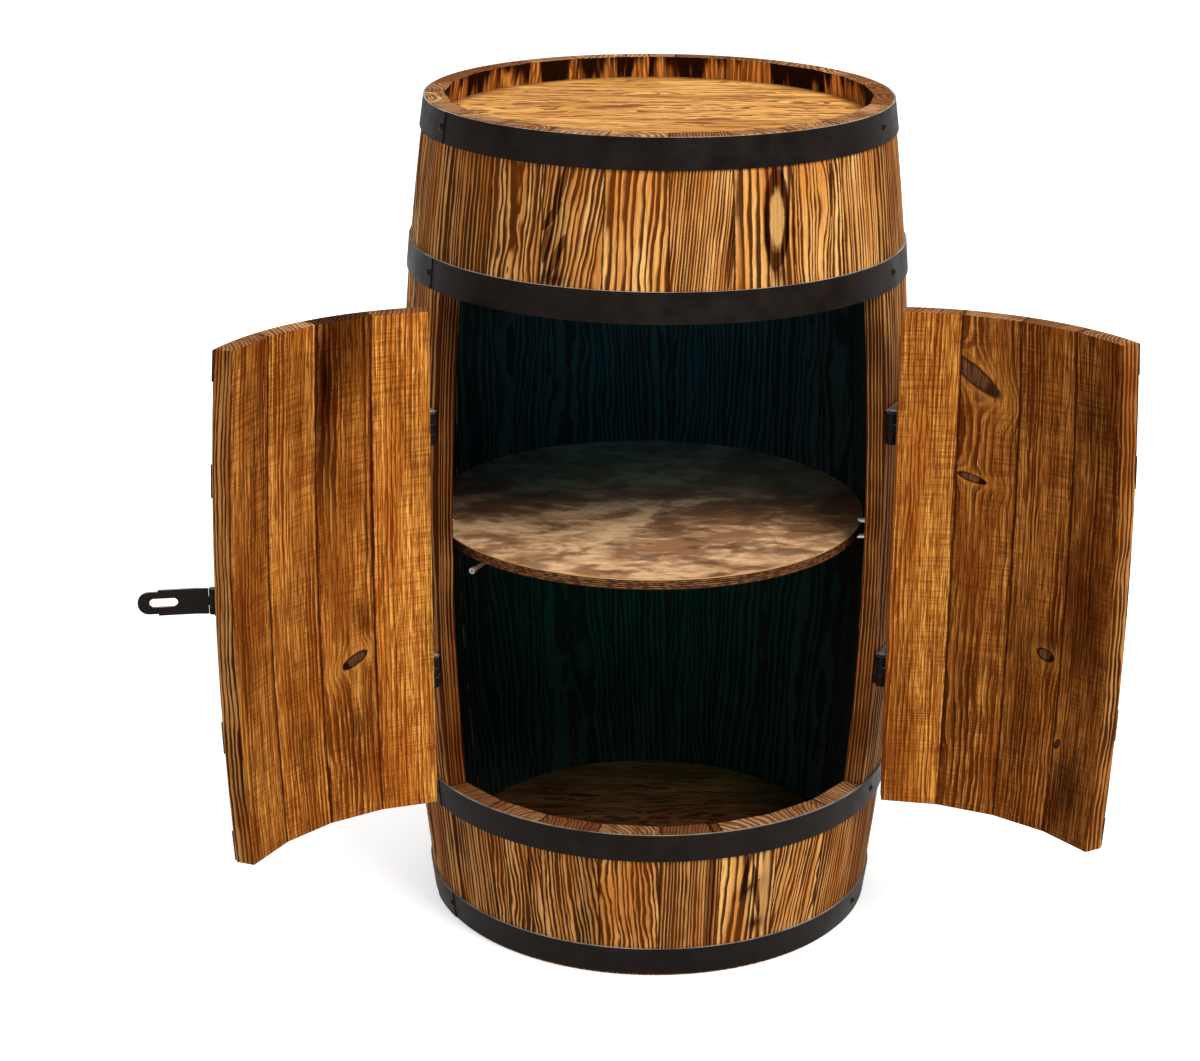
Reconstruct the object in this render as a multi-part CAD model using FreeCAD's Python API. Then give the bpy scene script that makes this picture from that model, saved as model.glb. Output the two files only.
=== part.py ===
"""Barrel bar cabinet: a coopered barrel with a pair of stave doors, a round shelf and a hasp.

The barrel stands on the ends of its staves. +Z is up, the doors face -Y, and the origin is the
centre of the floor circle. Bearings are degrees round the barrel from the front, positive toward +X.
The doors and the hasp are drawn open, as they rest.
"""
import FreeCAD, Part
import math
import os

# ---- driving dimensions, millimetres and degrees ----
HEIGHT = 800.0            # stave length measured straight up
END_RADIUS = 215.6        # outside of the staves at both ends
BILGE_RADIUS = 243.6      # outside of the staves at the belly
STAVE_THICKNESS = 19.0
STAVE_PITCH = 14.4        # bearing taken by one stave in the doorway
DOOR_STAVES = 4           # staves in each door

SILL_TOP = 155.0          # length of the short staves below the doorway
LINTEL_LENGTH = 160.0     # length of the short staves above it
DOOR_LIFT = 3.0           # gap under a door
DOOR_DROP = 6.0           # gap over a door
DOOR_GAP = 0.22           # bearing left between a door and the line where they meet
JAMB_GAP = 0.35           # bearing left between a door and its jamb

HOOP_THICKNESS = 2.0
HOOP_WIDTH = 28.0
STRIP_SEAT = 0.04         # a straight strip just touches the bulge along its middle
LAP_THICKNESS = 0.8       # riveted end of a hoop lying over its start
LAP_BEARINGS = (-76.0, -62.5)
BOTTOM_HOOP_RISE = 2.5    # from the floor to the lowest hoop
RIM_HOOP_DROP = 0.5       # from the rim to the highest hoop
LINTEL_HOOP_RISE = 0.5    # from the sawn ends over the doorway to their hoop

HEAD_RECESS = 20.5        # rim down to the face of the head
HEAD_THICKNESS = 20.0
TONGUE_THICKNESS = 7.0    # edge of the head held in the croze
CROZE_WIDTH = 9.0
CROZE_DEPTH = 6.4         # cut into the wall, measured from the rim's inside

SHELF_TOP = 397.0
SHELF_THICKNESS = 10.0
SHELF_CLEARANCE = 16.1    # from the shelf to the wall at the belly
SHELF_SHIFT = -6.0        # the shelf sits a little to the left
PEG_RADIUS = 3.0
PEG_REACH = 25.0
PEG_SINK = 9.0

HINGE_STAND = 5.6         # hinge pins, out from the belly
KNUCKLE_RADIUS = 5.2
HINGE_PIN_RADIUS = 2.5
PIN_CLEARANCE = 0.06
KNUCKLE_GAP = 0.35
LEAF_THICKNESS = 2.0
LEAF_REACH = 9.0          # bearing from the jamb to the end of a hinge leaf
LEAF_SETBACK = 0.5        # bearing from the jamb or the door's edge to the start of its leaf
LEAF_END_GAP = 0.2        # bearing left between a leaf and the hoop behind it
STRAP_WIDTH = 30.0
LOWER_STRAP_RISE = 104.0  # from the foot of a door to its lower hinge strap
UPPER_STRAP_DROP = 103.0  # from the top of a door to its upper hinge strap
END_STRAP_MARGIN = 1.0    # from a door's ends to its plain straps
LEFT_DOOR_OPEN = 111.8
RIGHT_DOOR_OPEN = 118.0

HASP_RISE = 246.0         # from the foot of the doors to the middle of the hasp
HASP_WIDTH = 23.5
HASP_TIP_WIDTH = 20.3
HASP_THICKNESS = 2.4
HASP_PIN_SIDE = 8.0       # hasp pin, left of the line where the doors meet
HASP_PIN_STAND = 5.8      # hasp pin, out from the belly
HASP_PIN_RADIUS = 1.5
HASP_KNUCKLE_RADIUS = 3.4
HASP_BEND_AT = 15.0       # from the pin to the bend
HASP_SHOULDER_AT = 47.3
HASP_LENGTH = 65.1
HASP_BEND = 8.0
HASP_REST = -68.0         # heading of the leaf's root as it rests, on the shut door
SLOT_START = 30.3
SLOT_END = 54.9
SLOT_WIDTH = 8.0

STAPLE_MIDDLE = 34.6      # from the line where the doors meet
STAPLE_WIDTH = 15.0
STAPLE_REACH = 20.0       # from the door's face to the tip of the lug
STAPLE_THICKNESS = 4.0
STAPLE_HOLE = 8.0

STOP_BEARING = -51.87
STOP_SETBACK = 22.5       # from the belly's outside in to the head of the stop pin
STOP_HEADING = 62.0
STOP_LENGTH = 60.0
STOP_DROP = 8.0           # from the shelf's underside to the middle of the stop pin

LED_WIDTH = 9.0
LED_THICKNESS = 3.0
LED_RISE = 6.0            # from the sawn ends over the doorway to the strip
TAPE = 0.3                # sticky tape behind the strip and its battery box
BATTERY_BOX = (46.0, 60.0, 16.0)

# ---- worked-out dimensions ----
JAMB_BEARING = DOOR_STAVES * STAVE_PITCH
LINTEL_BOTTOM = HEIGHT - LINTEL_LENGTH
DOOR_BOTTOM = SILL_TOP + DOOR_LIFT
DOOR_TOP = LINTEL_BOTTOM - DOOR_DROP
HOOP_LOWS = {"bottom": BOTTOM_HOOP_RISE, "lower_quarter": SILL_TOP - HOOP_WIDTH,
             "upper_quarter": LINTEL_BOTTOM + LINTEL_HOOP_RISE, "top": HEIGHT - RIM_HOOP_DROP - HOOP_WIDTH}
CROZE_RADIUS = END_RADIUS - STAVE_THICKNESS + CROZE_DEPTH
SHELF_RADIUS = BILGE_RADIUS - STAVE_THICKNESS - SHELF_CLEARANCE
HINGE_BEARING = JAMB_BEARING + JAMB_GAP
HINGE_RADIUS = BILGE_RADIUS + HINGE_STAND
LOWER_STRAP = (DOOR_BOTTOM + LOWER_STRAP_RISE, DOOR_BOTTOM + LOWER_STRAP_RISE + STRAP_WIDTH)
UPPER_STRAP = (DOOR_TOP - UPPER_STRAP_DROP - STRAP_WIDTH, DOOR_TOP - UPPER_STRAP_DROP)
STRAP_HEIGHTS = (LOWER_STRAP, UPPER_STRAP)
HASP_HEIGHT = DOOR_BOTTOM + HASP_RISE
HASP_PIN = (-HASP_PIN_SIDE, -BILGE_RADIUS - HASP_PIN_STAND)
STOP_HEAD = ((BILGE_RADIUS - STOP_SETBACK) * math.sin(math.radians(STOP_BEARING)),
             -(BILGE_RADIUS - STOP_SETBACK) * math.cos(math.radians(STOP_BEARING)))
STOP_HEIGHT = SHELF_TOP - SHELF_THICKNESS - STOP_DROP
LED_BOTTOM = LINTEL_BOTTOM + LED_RISE
MID_HEIGHT = HEIGHT / 2
SAGITTA = BILGE_RADIUS - END_RADIUS
PROFILE_RADIUS = (MID_HEIGHT ** 2 + SAGITTA ** 2) / (2 * SAGITTA)
AXIS_UP = FreeCAD.Vector(0, 0, 1)
ORIGIN = FreeCAD.Vector(0, 0, 0)

# Bearings of the joints between the full-length staves, from the right jamb round the back to the
# left one: a cooper picks staves of uneven width, with two pairs of narrow ones at the back.
RIGHT_JOINTS = [JAMB_BEARING + STAVE_PITCH * step for step in range(8)]
BACK_JOINTS = [172.9, 180.3, 187.0, 201.4, 217.2, 228.6, 239.4]
LEFT_PITCH = (360 - JAMB_BEARING - BACK_JOINTS[-1]) / 4
LEFT_JOINTS = [BACK_JOINTS[-1] + LEFT_PITCH * step for step in range(1, 5)]
BODY_JOINTS = RIGHT_JOINTS + BACK_JOINTS + LEFT_JOINTS


# ---- the barrel's shape ----
def radius_at(height, offset=0.0):
    """Radius of the barrel's bulging outside, or of a surface offset from it, at a height."""
    bow = PROFILE_RADIUS + offset
    return BILGE_RADIUS - PROFILE_RADIUS + math.sqrt(bow ** 2 - (height - MID_HEIGHT) ** 2)


def front_point(radius, height):
    return FreeCAD.Vector(0, -radius, height)


def bowed_edge(low, high, offset):
    """Arc up the barrel's side at bearing 0."""
    middle = (low + high) / 2
    ends = [front_point(radius_at(z, offset), z) for z in (low, middle, high)]
    return Part.Arc(*ends).toShape()


def bowed_face(low, high, inner_offset, outer_offset):
    """Upright face at bearing 0, between two offsets from the barrel's outside."""
    outer = bowed_edge(low, high, outer_offset)
    inner = bowed_edge(low, high, inner_offset)
    corners = {(z, offset): front_point(radius_at(z, offset), z)
               for z in (low, high) for offset in (inner_offset, outer_offset)}
    top = Part.makeLine(corners[high, outer_offset], corners[high, inner_offset])
    bottom = Part.makeLine(corners[low, inner_offset], corners[low, outer_offset])
    return Part.Face(Part.Wire(Part.__sortEdges__([outer, top, inner, bottom])))


def swept_band(low, high, inner_offset, outer_offset, start, end):
    """Band that follows the barrel's outside from one bearing to another."""
    face = bowed_face(low, high, inner_offset, outer_offset)
    face.rotate(ORIGIN, AXIS_UP, start)
    return face.revolve(ORIGIN, AXIS_UP, end - start)


def strip_iron(low, high, thickness, start, end):
    """Straight-sided strip bent round the staves from one bearing to another."""
    seats = [radius_at(z) + STRIP_SEAT for z in (low, high)]
    corners = [front_point(seats[0], low), front_point(seats[0] + thickness, low),
               front_point(seats[1] + thickness, high), front_point(seats[1], high)]
    face = Part.Face(Part.makePolygon(corners + corners[:1]))
    face.rotate(ORIGIN, AXIS_UP, start)
    return face.revolve(ORIGIN, AXIS_UP, end - start)


def at_bearing(shape, bearing):
    """Shape drawn at the front, turned to its bearing."""
    turned = shape.copy()
    turned.rotate(ORIGIN, AXIS_UP, bearing)
    return turned


def ring(inner_radius, outer_radius, low, high):
    outer = Part.makeCylinder(outer_radius, high - low, FreeCAD.Vector(0, 0, low))
    return outer.cut(Part.makeCylinder(inner_radius, high - low, FreeCAD.Vector(0, 0, low)))


# ---- staves ----
CROZES = [ring(CROZE_RADIUS - STAVE_THICKNESS, CROZE_RADIUS, low, low + CROZE_WIDTH)
          for low in (HEAD_RECESS, HEIGHT - HEAD_RECESS - CROZE_WIDTH)]


def stave(low, high, start, end):
    """One stave: bulging outside, flat inside, sides on planes through the barrel's axis."""
    wedge = swept_band(low, high, -STAVE_THICKNESS - 4, 0, start, end)
    width = 2 * BILGE_RADIUS * math.sin(math.radians(end - start)) + 20
    plank = bowed_face(low, high, -STAVE_THICKNESS, 6)
    plank.translate(FreeCAD.Vector(-width / 2, 0, 0))
    plank = plank.extrude(FreeCAD.Vector(width, 0, 0))
    plank.rotate(ORIGIN, AXIS_UP, (start + end) / 2)
    piece = wedge.common(plank)
    for croze in CROZES:
        if low < croze.BoundBox.ZMin and high > croze.BoundBox.ZMax:
            piece = piece.cut(croze)
    return piece


def body_staves():
    """Full-length staves from the right jamb round the back, drilled for the shelf pegs."""
    spans = zip(BODY_JOINTS[:-1], BODY_JOINTS[1:])
    pegs = Part.makeCompound(shelf_pegs())
    return [stave(0, HEIGHT, start, end).cut(pegs) for start, end in spans]


def short_staves(low, high):
    """Eight short staves that close the barrel above or below the doorway."""
    starts = [-JAMB_BEARING + STAVE_PITCH * step for step in range(2 * DOOR_STAVES)]
    return [stave(low, high, start, start + STAVE_PITCH) for start in starts]


# ---- hoops and straps ----
def closed_hoop(low):
    """Hoop all the way round, with its end lapped over its start on the left."""
    lap_start, lap_end = LAP_BEARINGS
    high = low + HOOP_WIDTH
    hoop = strip_iron(low, high, HOOP_THICKNESS, lap_end, lap_start + 360)
    lap = strip_iron(low, high, HOOP_THICKNESS + LAP_THICKNESS, lap_start, lap_end)
    return hoop.fuse(lap)


def hinge_axis(side):
    """Foot of a hinge pin: side is -1 for the left door and 1 for the right."""
    bearing = math.radians(side * HINGE_BEARING)
    return FreeCAD.Vector(HINGE_RADIUS * math.sin(bearing), -HINGE_RADIUS * math.cos(bearing), 0)


def knuckle(side, low, high, toward):
    """Eye round a hinge pin on a foot that joins its leaf: toward is 1 for the body, -1 for the door."""
    pin_foot = hinge_axis(side) + FreeCAD.Vector(0, 0, low)
    eye = Part.makeCylinder(KNUCKLE_RADIUS, high - low, pin_foot)
    seat = radius_at((low + high) / 2) + 0.9
    foot = Part.makeBox(KNUCKLE_RADIUS, HINGE_RADIUS - seat, high - low)
    left_end = 0 if side * toward > 0 else -KNUCKLE_RADIUS
    foot.translate(FreeCAD.Vector(left_end, -HINGE_RADIUS, low))
    return eye.fuse(at_bearing(foot, side * HINGE_BEARING)).cut(pin_bore(side, low, high))


def pin_bore(side, low, high):
    foot = hinge_axis(side) + FreeCAD.Vector(0, 0, low - 1)
    return Part.makeCylinder(HINGE_PIN_RADIUS + PIN_CLEARANCE, high - low + 2, foot)


def knuckle_spans(low, high):
    """Heights of the three knuckles: the outer two belong to the body, the middle one to the door."""
    third = (high - low) / 3
    return ((low, low + third), (low + third + KNUCKLE_GAP, high - third - KNUCKLE_GAP),
            (high - third, high))


def body_leaf(side, low, high):
    """Short hinge leaf on the jamb stave, with the upper and lower knuckles."""
    bearings = sorted((side * (JAMB_BEARING + LEAF_SETBACK), side * (JAMB_BEARING + LEAF_REACH)))
    leaf = strip_iron(low, high, LEAF_THICKNESS, *bearings)
    bottom, _, top = knuckle_spans(low, high)
    return leaf.fuse([knuckle(side, *bottom, 1), knuckle(side, *top, 1)]).removeSplitter()


def bilge_hoop(low, high):
    """Hoop round the back of the belly, stopping at the two hinge leaves."""
    end = JAMB_BEARING + LEAF_REACH + LEAF_END_GAP
    return strip_iron(low, high, HOOP_THICKNESS, end, 360 - end)


# ---- doors, drawn shut and then swung open ----
def swing(shape, side):
    """Shut door piece turned about its hinge to where the door rests."""
    turn = side * (LEFT_DOOR_OPEN if side < 0 else RIGHT_DOOR_OPEN)
    opened = shape.copy()
    opened.rotate(hinge_axis(side), AXIS_UP, turn)
    return opened


def door_staves(side):
    """Staves of one door, from its meeting edge to its hinges."""
    pieces = []
    for step in range(DOOR_STAVES):
        near = max(STAVE_PITCH * step, DOOR_GAP)
        far = min(STAVE_PITCH * (step + 1), JAMB_BEARING - JAMB_GAP)
        piece = stave(DOOR_BOTTOM, DOOR_TOP, *sorted((side * near, side * far)))
        pieces.append(swing(piece, side))
    return pieces


def end_straps(side):
    """Plain straps at the top and bottom of a door."""
    bearings = sorted((side * LEAF_SETBACK, side * (JAMB_BEARING - 2.0)))
    low = DOOR_BOTTOM + END_STRAP_MARGIN
    high = DOOR_TOP - END_STRAP_MARGIN
    spans = ((low, low + HOOP_WIDTH), (high - HOOP_WIDTH, high))
    return [swing(strip_iron(low, high, HOOP_THICKNESS, *bearings), side) for low, high in spans]


def hinge_strap(side, low, high):
    """Strap across a door that ends in the middle knuckle of its hinge."""
    bearings = sorted((side * LEAF_SETBACK, side * (JAMB_BEARING - LEAF_SETBACK)))
    strap = strip_iron(low, high, LEAF_THICKNESS, *bearings)
    _, middle, _ = knuckle_spans(low, high)
    eye = knuckle(side, *middle, -1)
    return swing(strap.fuse(eye).removeSplitter(), side)


def hinge_pin(side, low, high):
    """Pin with a flat head on its top."""
    foot = hinge_axis(side)
    shank = Part.makeCylinder(HINGE_PIN_RADIUS, high - low + 1, foot + FreeCAD.Vector(0, 0, low - 1))
    head = Part.makeCylinder(KNUCKLE_RADIUS - 0.8, 1.5, foot + FreeCAD.Vector(0, 0, high))
    return shank.fuse(head)


# ---- hasp and staple, drawn on the shut left door ----
def heading(angle):
    return FreeCAD.Vector(math.cos(math.radians(angle)), math.sin(math.radians(angle)), 0)


def swing_hasp(shape):
    """Leaf drawn with its root heading along +X from the pin, turned to rest on the open door."""
    turned = shape.copy()
    turned.translate(FreeCAD.Vector(HASP_PIN[0], HASP_PIN[1], HASP_HEIGHT))
    turned.rotate(FreeCAD.Vector(HASP_PIN[0], HASP_PIN[1], 0), AXIS_UP, HASP_REST)
    return swing(turned, -1)


def hasp_leaf():
    """Cranked leaf with a rounded end, a narrow tip and a long slot for the staple."""
    half = HASP_THICKNESS / 2
    root = Part.makeBox(HASP_BEND_AT + 0.1, HASP_THICKNESS, HASP_WIDTH,
                        FreeCAD.Vector(0, -half, -HASP_WIDTH / 2))
    outer = leaf_outline().cut(staple_slot())
    outer.rotate(ORIGIN, AXIS_UP, HASP_BEND)
    outer.translate(FreeCAD.Vector(HASP_BEND_AT, 0, 0))
    third = HASP_WIDTH / 3
    eye = Part.makeCylinder(HASP_KNUCKLE_RADIUS, third, FreeCAD.Vector(0, 0, -third / 2))
    gaps = [Part.makeCylinder(HASP_KNUCKLE_RADIUS + 0.6, third + KNUCKLE_GAP, FreeCAD.Vector(0, 0, low))
            for low in (-HASP_WIDTH / 2, third / 2)]
    bore = Part.makeCylinder(HASP_PIN_RADIUS + PIN_CLEARANCE, HASP_WIDTH,
                             FreeCAD.Vector(0, 0, -HASP_WIDTH / 2))
    return swing_hasp(root.fuse(outer).fuse(eye).cut(gaps).cut(bore).removeSplitter())


def leaf_outline():
    """Outer part of the leaf, drawn from the bend: wide, then narrow, then round."""
    half = HASP_THICKNESS / 2
    reach = HASP_LENGTH - HASP_BEND_AT
    shoulder = HASP_SHOULDER_AT - HASP_BEND_AT
    tip_radius = HASP_TIP_WIDTH / 2
    wide = Part.makeBox(shoulder + 0.1, HASP_THICKNESS, HASP_WIDTH,
                        FreeCAD.Vector(-0.1, -half, -HASP_WIDTH / 2))
    narrow = Part.makeBox(reach - tip_radius, HASP_THICKNESS, HASP_TIP_WIDTH,
                          FreeCAD.Vector(0, -half, -tip_radius))
    tip = Part.makeCylinder(tip_radius, HASP_THICKNESS, FreeCAD.Vector(reach - tip_radius, -half, 0),
                            FreeCAD.Vector(0, 1, 0))
    return wide.fuse([narrow, tip])


def staple_slot():
    """Round-ended slot, drawn from the bend."""
    start = SLOT_START - HASP_BEND_AT
    end = SLOT_END - HASP_BEND_AT
    radius = SLOT_WIDTH / 2
    middle = Part.makeBox(end - start - SLOT_WIDTH, 10, SLOT_WIDTH,
                          FreeCAD.Vector(start + radius, -5, -radius))
    ends = [Part.makeCylinder(radius, 10, FreeCAD.Vector(x, -5, 0), FreeCAD.Vector(0, 1, 0))
            for x in (start + radius, end - radius)]
    return middle.fuse(ends)


def hasp_plate():
    """Plate on the left door that carries the two outer knuckles of the hasp."""
    low = HASP_HEIGHT - HASP_WIDTH / 2
    high = HASP_HEIGHT + HASP_WIDTH / 2
    third = HASP_WIDTH / 3
    pin_foot = FreeCAD.Vector(HASP_PIN[0], HASP_PIN[1], 0)
    plate = strip_iron(low, high, LEAF_THICKNESS, -12.0, -0.7)
    wood = Part.makeCylinder(BILGE_RADIUS + 0.6, HEIGHT)
    for base in (low, high - third):
        eye = Part.makeCylinder(HASP_KNUCKLE_RADIUS, third, pin_foot + FreeCAD.Vector(0, 0, base))
        foot = Part.makeBox(HASP_KNUCKLE_RADIUS, 6.0, third,
                            FreeCAD.Vector(HASP_PIN[0] - HASP_KNUCKLE_RADIUS, HASP_PIN[1], base))
        plate = plate.fuse(eye.fuse(foot.cut(wood)))
    bore = Part.makeCylinder(HASP_PIN_RADIUS + PIN_CLEARANCE, HEIGHT, pin_foot)
    return swing(plate.cut(bore).removeSplitter(), -1)


def hasp_pin():
    foot = FreeCAD.Vector(HASP_PIN[0], HASP_PIN[1], HASP_HEIGHT - HASP_WIDTH / 2)
    return swing(Part.makeCylinder(HASP_PIN_RADIUS, HASP_WIDTH, foot), -1)


def staple():
    """Plate on the right door with a level lug that is holed for a padlock."""
    low = HASP_HEIGHT - HASP_WIDTH / 2
    high = HASP_HEIGHT + HASP_WIDTH / 2
    plate = strip_iron(low, high, LEAF_THICKNESS, 3.6, 12.8)
    wood_face = -math.sqrt(BILGE_RADIUS ** 2 - STAPLE_MIDDLE ** 2)
    half = STAPLE_WIDTH / 2
    hole_y = wood_face - STAPLE_REACH + half
    lug = Part.makeBox(STAPLE_WIDTH, wood_face - 1 - hole_y, STAPLE_THICKNESS,
                       FreeCAD.Vector(STAPLE_MIDDLE - half, hole_y, HASP_HEIGHT - STAPLE_THICKNESS / 2))
    middle = FreeCAD.Vector(STAPLE_MIDDLE, hole_y, HASP_HEIGHT - STAPLE_THICKNESS / 2)
    lug = lug.fuse(Part.makeCylinder(half, STAPLE_THICKNESS, middle))
    lug = lug.cut(Part.makeCylinder(STAPLE_HOLE / 2, STAPLE_THICKNESS, middle))
    return swing(plate.fuse(lug).removeSplitter(), 1)


# ---- inside the barrel ----
def shelf_pegs():
    """Steel pegs driven square into the staves: four below the shelf, two above its front corners."""
    below = SHELF_TOP - SHELF_THICKNESS - PEG_RADIUS
    above = SHELF_TOP + PEG_RADIUS
    places = [(75, below), (-75, below), (140, below), (-140, below), (75, above), (-75, above)]
    pegs = []
    for bearing, height in places:
        facing = stave_middle(bearing)
        wall = radius_at(height) - STAVE_THICKNESS
        peg = Part.makeCylinder(PEG_RADIUS, PEG_REACH + PEG_SINK, front_point(wall + PEG_SINK, height),
                                FreeCAD.Vector(0, 1, 0))
        peg.translate(FreeCAD.Vector(wall * math.tan(math.radians(bearing - facing)), 0, 0))
        pegs.append(at_bearing(peg, facing))
    return pegs


def stave_middle(bearing):
    """Bearing of the middle of the full-length stave that stands at a bearing."""
    turned = bearing % 360
    for start, end in zip(BODY_JOINTS[:-1], BODY_JOINTS[1:]):
        if start <= turned < end:
            return (start + end) / 2


def head_profile():
    """Half section of a head lying face up at height 0: thick in the middle, thinned at the edge."""
    edge = CROZE_RADIUS - 0.3
    bevel_start = edge - 16.5
    points = [(0, 0), (edge, 0), (edge, -TONGUE_THICKNESS), (bevel_start, -HEAD_THICKNESS),
              (0, -HEAD_THICKNESS)]
    corners = [FreeCAD.Vector(r, 0, z) for r, z in points]
    return Part.Face(Part.makePolygon(corners + corners[:1]))


def head(face_height, upright):
    disc = head_profile().revolve(ORIGIN, AXIS_UP, 360)
    if not upright:
        disc.rotate(ORIGIN, FreeCAD.Vector(1, 0, 0), 180)
    disc.translate(FreeCAD.Vector(0, 0, face_height))
    return disc


def shelf():
    return Part.makeCylinder(SHELF_RADIUS, SHELF_THICKNESS,
                             FreeCAD.Vector(SHELF_SHIFT, 0, SHELF_TOP - SHELF_THICKNESS))


def stop_pin():
    """Steel pin with a bored head that lies under the shelf by the left jamb."""
    along = heading(STOP_HEADING)
    start = FreeCAD.Vector(STOP_HEAD[0], STOP_HEAD[1], STOP_HEIGHT)
    head_part = Part.makeCylinder(2.9, 5.0, start, along)
    shank = Part.makeCylinder(2.0, STOP_LENGTH, start, along)
    bore = Part.makeCylinder(1.2, 4.0, start, along)
    return head_part.fuse(shank).cut(bore)


def stop_block():
    """Hardwood block glued under the shelf that holds the stop pin."""
    underside = SHELF_TOP - SHELF_THICKNESS
    depth = underside - STOP_HEIGHT + 8
    block = Part.makeBox(16, 16, depth, FreeCAD.Vector(0, -8, underside - depth))
    block.rotate(ORIGIN, AXIS_UP, STOP_HEADING)
    along = heading(STOP_HEADING)
    block.translate(FreeCAD.Vector(STOP_HEAD[0], STOP_HEAD[1], 0) + along * (STOP_LENGTH - 14))
    return block.cut(stop_pin())


def led_strip():
    """Light strip stuck to the flat insides of the lintel staves, bent at each joint."""
    pieces = []
    half = END_RADIUS * math.radians(STAVE_PITCH)
    seat = -STAVE_THICKNESS - TAPE
    for step in range(1 - DOOR_STAVES, DOOR_STAVES - 1):
        start = step * STAVE_PITCH
        face = bowed_face(LED_BOTTOM, LED_BOTTOM + LED_WIDTH, seat - LED_THICKNESS, seat)
        face.translate(FreeCAD.Vector(-half, 0, 0))
        strip = face.extrude(FreeCAD.Vector(2 * half, 0, 0))
        strip.rotate(ORIGIN, AXIS_UP, start + STAVE_PITCH / 2)
        wedge = Part.makeCylinder(END_RADIUS * 2, HEIGHT, ORIGIN, AXIS_UP, STAVE_PITCH)
        wedge.rotate(ORIGIN, AXIS_UP, start - 90)
        pieces.append(strip.common(wedge))
    return pieces[0].fuse(pieces[1:]).removeSplitter()


def battery_box():
    """Battery box that the strip plugs into, stuck to the flat of a lintel stave above it."""
    width, height, depth = BATTERY_BOX
    low = LED_BOTTOM + LED_WIDTH
    seat = -STAVE_THICKNESS - TAPE
    face = bowed_face(low, low + height, seat - depth, seat)
    face.translate(FreeCAD.Vector(-width / 2, 0, 0))
    box = face.extrude(FreeCAD.Vector(width, 0, 0))
    inner_edges = [edge for edge in box.Edges
                   if edge.BoundBox.XLength < 1 and edge.BoundBox.YMin > -radius_at(low) + STAVE_THICKNESS + 8]
    return at_bearing(box.makeFillet(3.0, inner_edges), STAVE_PITCH / 2)


# ---- parts list ----
def export(name, shapes):
    """Write one node: a single solid, or a group of like solids."""
    shapes = shapes if isinstance(shapes, list) else [shapes]
    solids = [solid for shape in shapes for solid in shape.Solids]
    node = solids[0] if len(solids) == 1 else Part.makeCompound(solids)
    node.exportStep(os.path.join("parts", name + ".step"))
    print(name, len(solids), all(solid.isValid() for solid in solids))


def main():
    os.makedirs("parts", exist_ok=True)
    for number, piece in enumerate(body_staves(), 1):
        export(f"stave_{number:02d}", piece)
    export("lintel_staves", short_staves(LINTEL_BOTTOM, HEIGHT))
    export("sill_staves", short_staves(0, SILL_TOP))
    for place, low in HOOP_LOWS.items():
        export(place + "_hoop", closed_hoop(low))
    for place, span in zip(("lower", "upper"), STRAP_HEIGHTS):
        export(place + "_bilge_hoop", bilge_hoop(*span))
    export("top_head", head(HEIGHT - HEAD_RECESS, True))
    export("bottom_head", head(HEAD_RECESS, False))
    export("shelf", shelf())
    export("shelf_pegs", shelf_pegs())
    export("stop_pin", stop_pin())
    export("stop_block", stop_block())
    export("led_strip", led_strip())
    export("battery_box", battery_box())
    for side, name in ((-1, "left"), (1, "right")):
        for number, piece in enumerate(door_staves(side), 1):
            export(f"{name}_door_stave_{number}", piece)
        export(name + "_door_end_straps", end_straps(side))
        export(name + "_door_hinge_straps", [hinge_strap(side, *span) for span in STRAP_HEIGHTS])
        export(name + "_jamb_leaves", [body_leaf(side, *span) for span in STRAP_HEIGHTS])
        export(name + "_hinge_pins", [hinge_pin(side, *span) for span in STRAP_HEIGHTS])
    export("hasp_plate", hasp_plate())
    export("hasp_leaf", hasp_leaf())
    export("hasp_pin", hasp_pin())
    export("staple", staple())


main()
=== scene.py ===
"""Looks of the barrel bar cabinet: brushed and charred pine, black iron, and a soft light inside."""
import math
import random

import bmesh
import bpy
from mathutils import Matrix, Vector


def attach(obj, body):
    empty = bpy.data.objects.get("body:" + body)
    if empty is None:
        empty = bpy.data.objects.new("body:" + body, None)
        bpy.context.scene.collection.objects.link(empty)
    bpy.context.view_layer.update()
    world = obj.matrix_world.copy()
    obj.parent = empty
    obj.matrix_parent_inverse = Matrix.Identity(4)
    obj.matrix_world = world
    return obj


# ---- the barrel's sizes, in metres and degrees ----
HEIGHT = 0.8
BELLY_RADIUS = 0.2436
BOW_RADIUS = 2.87114
STAVE_PITCH = 14.4
JAMB = 57.6
RIM_TO_HEAD = 0.0205
HEAD_THICK = 0.02
IRON = 0.002  # thickness of the strips
LAP = 0.0008  # added at a lap
HINGES = {"left": ((-0.211218, -0.13224, 0.0), 111.8), "right": ((0.211218, -0.13224, 0.0), -118.0)}
EVEN_JOINTS = [JAMB + STAVE_PITCH * step for step in range(8)]
BODY_JOINTS = EVEN_JOINTS + [172.9, 180.3, 187.0, 201.4, 217.2, 228.6, 239.4, 255.15, 270.9, 286.65, 302.4]
CHIME = 0.03
HEAD_EDGE = (0.186, 0.200)  # a head darkens here
SHELF_TOP = 0.397
SHELF_LAYER = 0.002
BLOCK_FACE = 0.38  # top of the stop block
LAMP_STEP = 3.6  # between lamps of the strip
BACK_BEARING = 120  # bearings wrap past it

# ---- iron strips as (lower edge, upper edge), and the bearings of their screws from the front ----
HOOPS = ((0.0025, 0.0305), (0.127, 0.155), (0.6405, 0.6685), (0.7715, 0.7995))
BILGE_BANDS = ((0.262, 0.292), (0.501, 0.531))
DOOR_STRAPS = ((0.159, 0.187), (0.605, 0.633))
HASP_BAND = (0.39225, 0.41575)
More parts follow.
